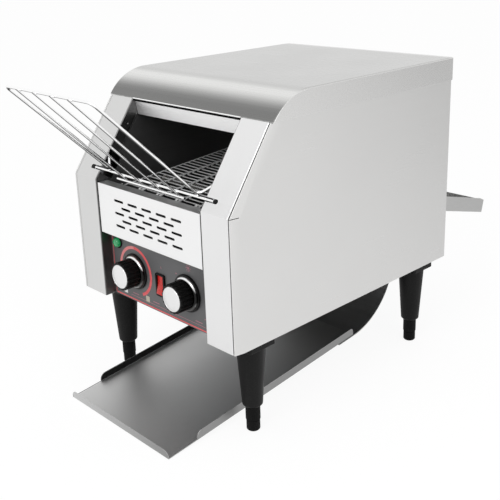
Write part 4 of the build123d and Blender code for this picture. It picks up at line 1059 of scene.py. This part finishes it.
# ---------------- heating tubes
def tube_set(name, places, stands_for):
    """Quartz tubes with a wound coil inside and a ceramic plug at each end."""
    tubes, coils, plugs = [], [], []
    coil_turns, turn_steps, coil_radius, plug_length = 50, 8, 2.6 * MM, 8.4
    for y, z in places:
        tubes.append(
            turned(
                [
                    (4.95, -104.0), (5.0, -103.7), (5.0, 103.7), (4.95, 104.0),
                ],
                (0, y, z),
                facing="right",
                vertices=24,
            )
        )
        wound = [
            (
                (-92.0 + 184.0 * n / (coil_turns * turn_steps)) * MM,
                y + coil_radius * math.cos(math.tau * n / turn_steps),
                z + coil_radius * math.sin(math.tau * n / turn_steps),
            )
            for n in range(coil_turns * turn_steps + 1)
        ]
        coils.append(wire(wound, 0.45 * MM, sides=0))
        for sign in (-1, 1):
            low = min(sign * 97.0, sign * (97.0 + plug_length)) * MM
            plug = turned(
                [
                    (3.2, 0.0), (4.2, 0.6), (4.6, 7.0),
                    (3.0, plug_length),
                ],
                (low, y, z),
                facing="right",
                vertices=16,
            )
            plugs.append(plug)
    finish(joined(tubes), f"{name}_quartz_tubes", quartz, "housing", (stands_for,))
    finish(joined(coils), f"{name}_coils", chain_steel, "housing", angle=60)
    finish(joined(plugs), f"{name}_tube_plugs", ceramic, "housing")


tube_set("upper", upper_tubes, "upper_heaters")
tube_set("lower", lower_tubes, "lower_heaters")

# ---------------- roller chain
chain_line = Vector((0, drive.y - motor.y, drive.z - motor.z))
chain_span = chain_line.length
small_reach, large_reach = 13.9 * MM, 19.9 * MM
chain_lean = math.atan2(chain_line.z, chain_line.y)
spread_angle = math.asin((large_reach - small_reach) / chain_span)
straight = math.sqrt(chain_span**2 - (large_reach - small_reach) ** 2)
large_wrap = math.pi + 2 * spread_angle
small_wrap = math.pi - 2 * spread_angle
chain_lap = 2 * straight + large_reach * large_wrap + small_reach * small_wrap
chain_links = 2 * round(chain_lap / (2 * 5.0 * MM))


def chain_spot(distance):
    """(y, z) of a chain pin after a distance round the loop."""
    up_angle = chain_lean + math.pi / 2 + spread_angle
    down_angle = chain_lean - math.pi / 2 - spread_angle
    run = distance % chain_lap
    if run < straight:
        share = run / straight
        angle = up_angle
        centre = motor.lerp(drive, share)
        reach = small_reach + (large_reach - small_reach) * share
    elif run < straight + large_reach * large_wrap:
        angle = up_angle - (run - straight) / large_reach
        centre, reach = drive, large_reach
    elif run < 2 * straight + large_reach * large_wrap:
        share = (run - straight - large_reach * large_wrap) / straight
        angle = down_angle
        centre = drive.lerp(motor, share)
        reach = large_reach + (small_reach - large_reach) * share
    else:
        angle = down_angle - (run - 2 * straight - large_reach * large_wrap) / small_reach
        centre, reach = motor, small_reach
    return centre.y + reach * math.cos(angle), centre.z + reach * math.sin(angle)


pins = [chain_spot(n * chain_lap / chain_links) for n in range(chain_links)]
chain = []
for number, (y, z) in enumerate(pins):
    next_y, next_z = pins[(number + 1) % chain_links]
    link_length = math.hypot(next_y - y, next_z - z)
    half = 1.1 * MM if number % 2 else 1.45 * MM
    for sign in (-1, 1):
        plate = block(
            (-0.2 * MM, -1.15 * MM, -1.15 * MM),
            (0.2 * MM, link_length + 1.15 * MM, 1.15 * MM),
            0.5 * MM,
            1,
        )
        tilt = Matrix.Rotation(math.atan2(next_z - z, next_y - y), 4, "X")
        centre = (motor.x + sign * (half - 0.25 * MM), y, z)
        plate.matrix_world = Matrix.Translation(centre) @ tilt
        chain.append(plate)
    roller = turned(
        [(0.7, -0.9), (0.95, -0.8), (0.95, 0.8), (0.7, 0.9)],
        (motor.x, y, z),
        facing="right",
        vertices=8,
    )
    chain.append(roller)
finish(joined(chain), "roller_chain", chain_steel, "housing", ("drive_chain",))

# ---------------- screws
rear_face = 183.77 * MM - 1.0 * MM
screws = []
for sign in (-1, 1):
    for height in (126.0 * MM, 219.0 * MM, 349.0 * MM):
        head = turned(
            [
                (3.15, 0.0), (3.2, 0.4), (3.0, 1.0), (2.3, 1.5), (1.2, 1.75), (0.2, 1.8),
            ],
            (0, 0, 0),
            vertices=24,
        )
        cross = joined(
            [
                block((-1.7 * MM, -0.35 * MM, 0.9 * MM), (1.7 * MM, 0.35 * MM, 3 * MM)),
                block((-0.35 * MM, -1.7 * MM, 0.9 * MM), (0.35 * MM, 1.7 * MM, 3 * MM)),
            ]
        )
        only(head)
        recess = head.modifiers.new("recess", "BOOLEAN")
        recess.operation = "DIFFERENCE"
        recess.use_self = True
        recess.object = cross
        bpy.ops.object.modifier_apply(modifier=recess.name)
        bpy.data.objects.remove(cross)
        head.rotation_euler = (-math.pi / 2, 0, 0)
        head.location = (sign * 130.6 * MM, rear_face, height)
        settle(head)
        screws.append(head)
heads = joined(screws)
finish(heads, "panel_screw_heads", shaft_steel, "housing", ("panel_screws",))

# ---------------- rack welds
rack_run = (top_wire - rod).normalized()
rack_up = Vector((0, rack_run.z, -rack_run.y))
weld = 0.3 * MM
beads = []


def bead(place, size):
    fresh()
    bpy.ops.mesh.primitive_ico_sphere_add(subdivisions=2, radius=size, location=place)
    drop = bpy.context.object
    drop.scale = (1.25, 0.9, 0.9)
    settle(drop)
    beads.append(drop)


for x in rack_wires:
    across_x = Vector((x, 0, 0))
    bead(rod + across_x - rack_up * (rod_radius + 0.1 * MM), 1.2 * MM)
    low_bar = rod + across_x - rack_run * 3.0 * MM
    bead(low_bar - rack_up * (rod_radius + 2 * rack_wire_radius - weld), 1.2 * MM)
    bead(top_wire + across_x - rack_up * (frame_wire_radius + 0.1 * MM), 1.3 * MM)
for side_x in (-80.5 * MM, 80.5 * MM):
    bead(rod + Vector((side_x, 0, 0)) + rack_up * (rod_radius + 0.1 * MM), 1.4 * MM)
finish(joined(beads), "rack_weld_beads", bright_wire, "bread_rack", angle=60)

# ---------------- room
fresh()
bpy.ops.mesh.primitive_plane_add(size=80, location=(0, 0, 0))
floor = bpy.context.object
floor.name = "floor"
pale = bpy.data.materials.new("pale_floor")
pale.use_nodes = True
tree = pale.node_tree
out = tree.nodes["Material Output"]
tree.nodes.remove(tree.nodes["Principled BSDF"])
matt = tree.nodes.new("ShaderNodeBsdfDiffuse")
matt.inputs["Color"].default_value = (0.88, 0.88, 0.88, 1)
glow = tree.nodes.new("ShaderNodeEmission")
glow.inputs["Color"].default_value = (1, 1, 1, 1)
glow.inputs["Strength"].default_value = 1.06
place = tree.nodes.new("ShaderNodeTexCoord")
parts = tree.nodes.new("ShaderNodeSeparateXYZ")
join(tree, place, "Object", parts, 0)
rightward = maths(tree, "MAXIMUM", parts, "X", 0.0)
leftward = maths(tree, "MULTIPLY", rightward, "Value", -0.69)
backward = maths(tree, "MULTIPLY_ADD", parts, "Y", 0.72)
join(tree, leftward, "Value", backward, 2)
fall = tree.nodes.new("ShaderNodeMapRange")
fall.interpolation_type = "SMOOTHERSTEP"
fall.inputs["From Min"].default_value = -0.55
fall.inputs["From Max"].default_value = 0.95
fall.inputs["To Min"].default_value = 1.10
fall.inputs["To Max"].default_value = 0.62
join(tree, backward, "Value", fall, "Value")
mirrored = tree.nodes.new("ShaderNodeEmission")
mirrored.inputs["Color"].default_value = (1, 1, 1, 1)
join(tree, fall, "Result", mirrored, "Strength")
rays = tree.nodes.new("ShaderNodeLightPath")
below = matt
for ray, share, seen_as in (("Is Camera Ray", 0.85, glow), ("Is Glossy Ray", 0.9, mirrored)):
    amount = maths(tree, "MULTIPLY", rays, ray, share)
    blend = tree.nodes.new("ShaderNodeMixShader")
    join(tree, amount, "Value", blend, "Fac")
    tree.links.new(below.outputs[0], blend.inputs[1])
    tree.links.new(seen_as.outputs[0], blend.inputs[2])
    below = blend
tree.links.new(below.outputs[0], out.inputs["Surface"])
floor.data.materials.append(pale)

world = bpy.data.worlds.new("studio")
bpy.context.scene.world = world
world.use_nodes = True
tree = world.node_tree
backdrop = tree.nodes["Background"]
room = tree.nodes.new("ShaderNodeBackground")
room.inputs["Color"].default_value = (1, 1, 1, 1)
room.inputs["Strength"].default_value = 0.62
backdrop.inputs["Color"].default_value = (1, 1, 1, 1)
backdrop.inputs["Strength"].default_value = 1.0
rays = tree.nodes.new("ShaderNodeLightPath")
seen = maths(tree, "MAXIMUM", rays, "Is Camera Ray")
join(tree, rays, "Is Glossy Ray", seen, 1)
seen_too = maths(tree, "MAXIMUM", seen, "Value")
join(tree, rays, "Is Transmission Ray", seen_too, 1)
blend = tree.nodes.new("ShaderNodeMixShader")
join(tree, seen_too, "Value", blend, "Fac")
tree.links.new(room.outputs[0], blend.inputs[1])
tree.links.new(backdrop.outputs[0], blend.inputs[2])
tree.links.new(blend.outputs[0], tree.nodes["World Output"].inputs["Surface"])


def softbox(name, place, target, width, height, power):
    fresh()
    bpy.ops.object.light_add(type="AREA", location=place)
    lamp = bpy.context.object
    lamp.name = name
    lamp.data.shape = "RECTANGLE"
    lamp.data.size = width
    lamp.data.size_y = height
    lamp.data.energy = power
    aim = Vector(target) - Vector(place)
    lamp.rotation_euler = aim.to_track_quat("-Z", "Y").to_euler()


softbox("key", (0.5, -1.7, 1.5), (0, -0.1, 0.25), 0.9, 0.9, 9)
softbox("side", (2.2, -0.4, 1.2), (0, 0, 0.2), 1.2, 1.2, 8)

# ---------------- camera
azimuth, elevation, roll = math.radians(46.48), math.radians(17.41), math.radians(-1.93)
distance = 1.05975
target = Vector((-0.01252, -0.031204, 0.21715))
back = Vector(
    (
        math.sin(azimuth) * math.cos(elevation),
        -math.cos(azimuth) * math.cos(elevation),
        math.sin(elevation),
    )
)
right = Vector((math.cos(azimuth), math.sin(azimuth), 0))
up = back.cross(right)
across = right * math.cos(roll) + up * math.sin(roll)
upward = up * math.cos(roll) - right * math.sin(roll)
fresh()
bpy.ops.object.camera_add(location=target + back * distance)
camera = bpy.context.object
camera.rotation_euler = Matrix((across, upward, back)).transposed().to_euler()
camera.data.sensor_width = 36.0
camera.data.lens = 59.2
camera.data.shift_y = -0.10
camera.data.clip_start = 0.05
bpy.context.scene.camera = camera
bpy.context.scene.view_settings.view_transform = "Standard"
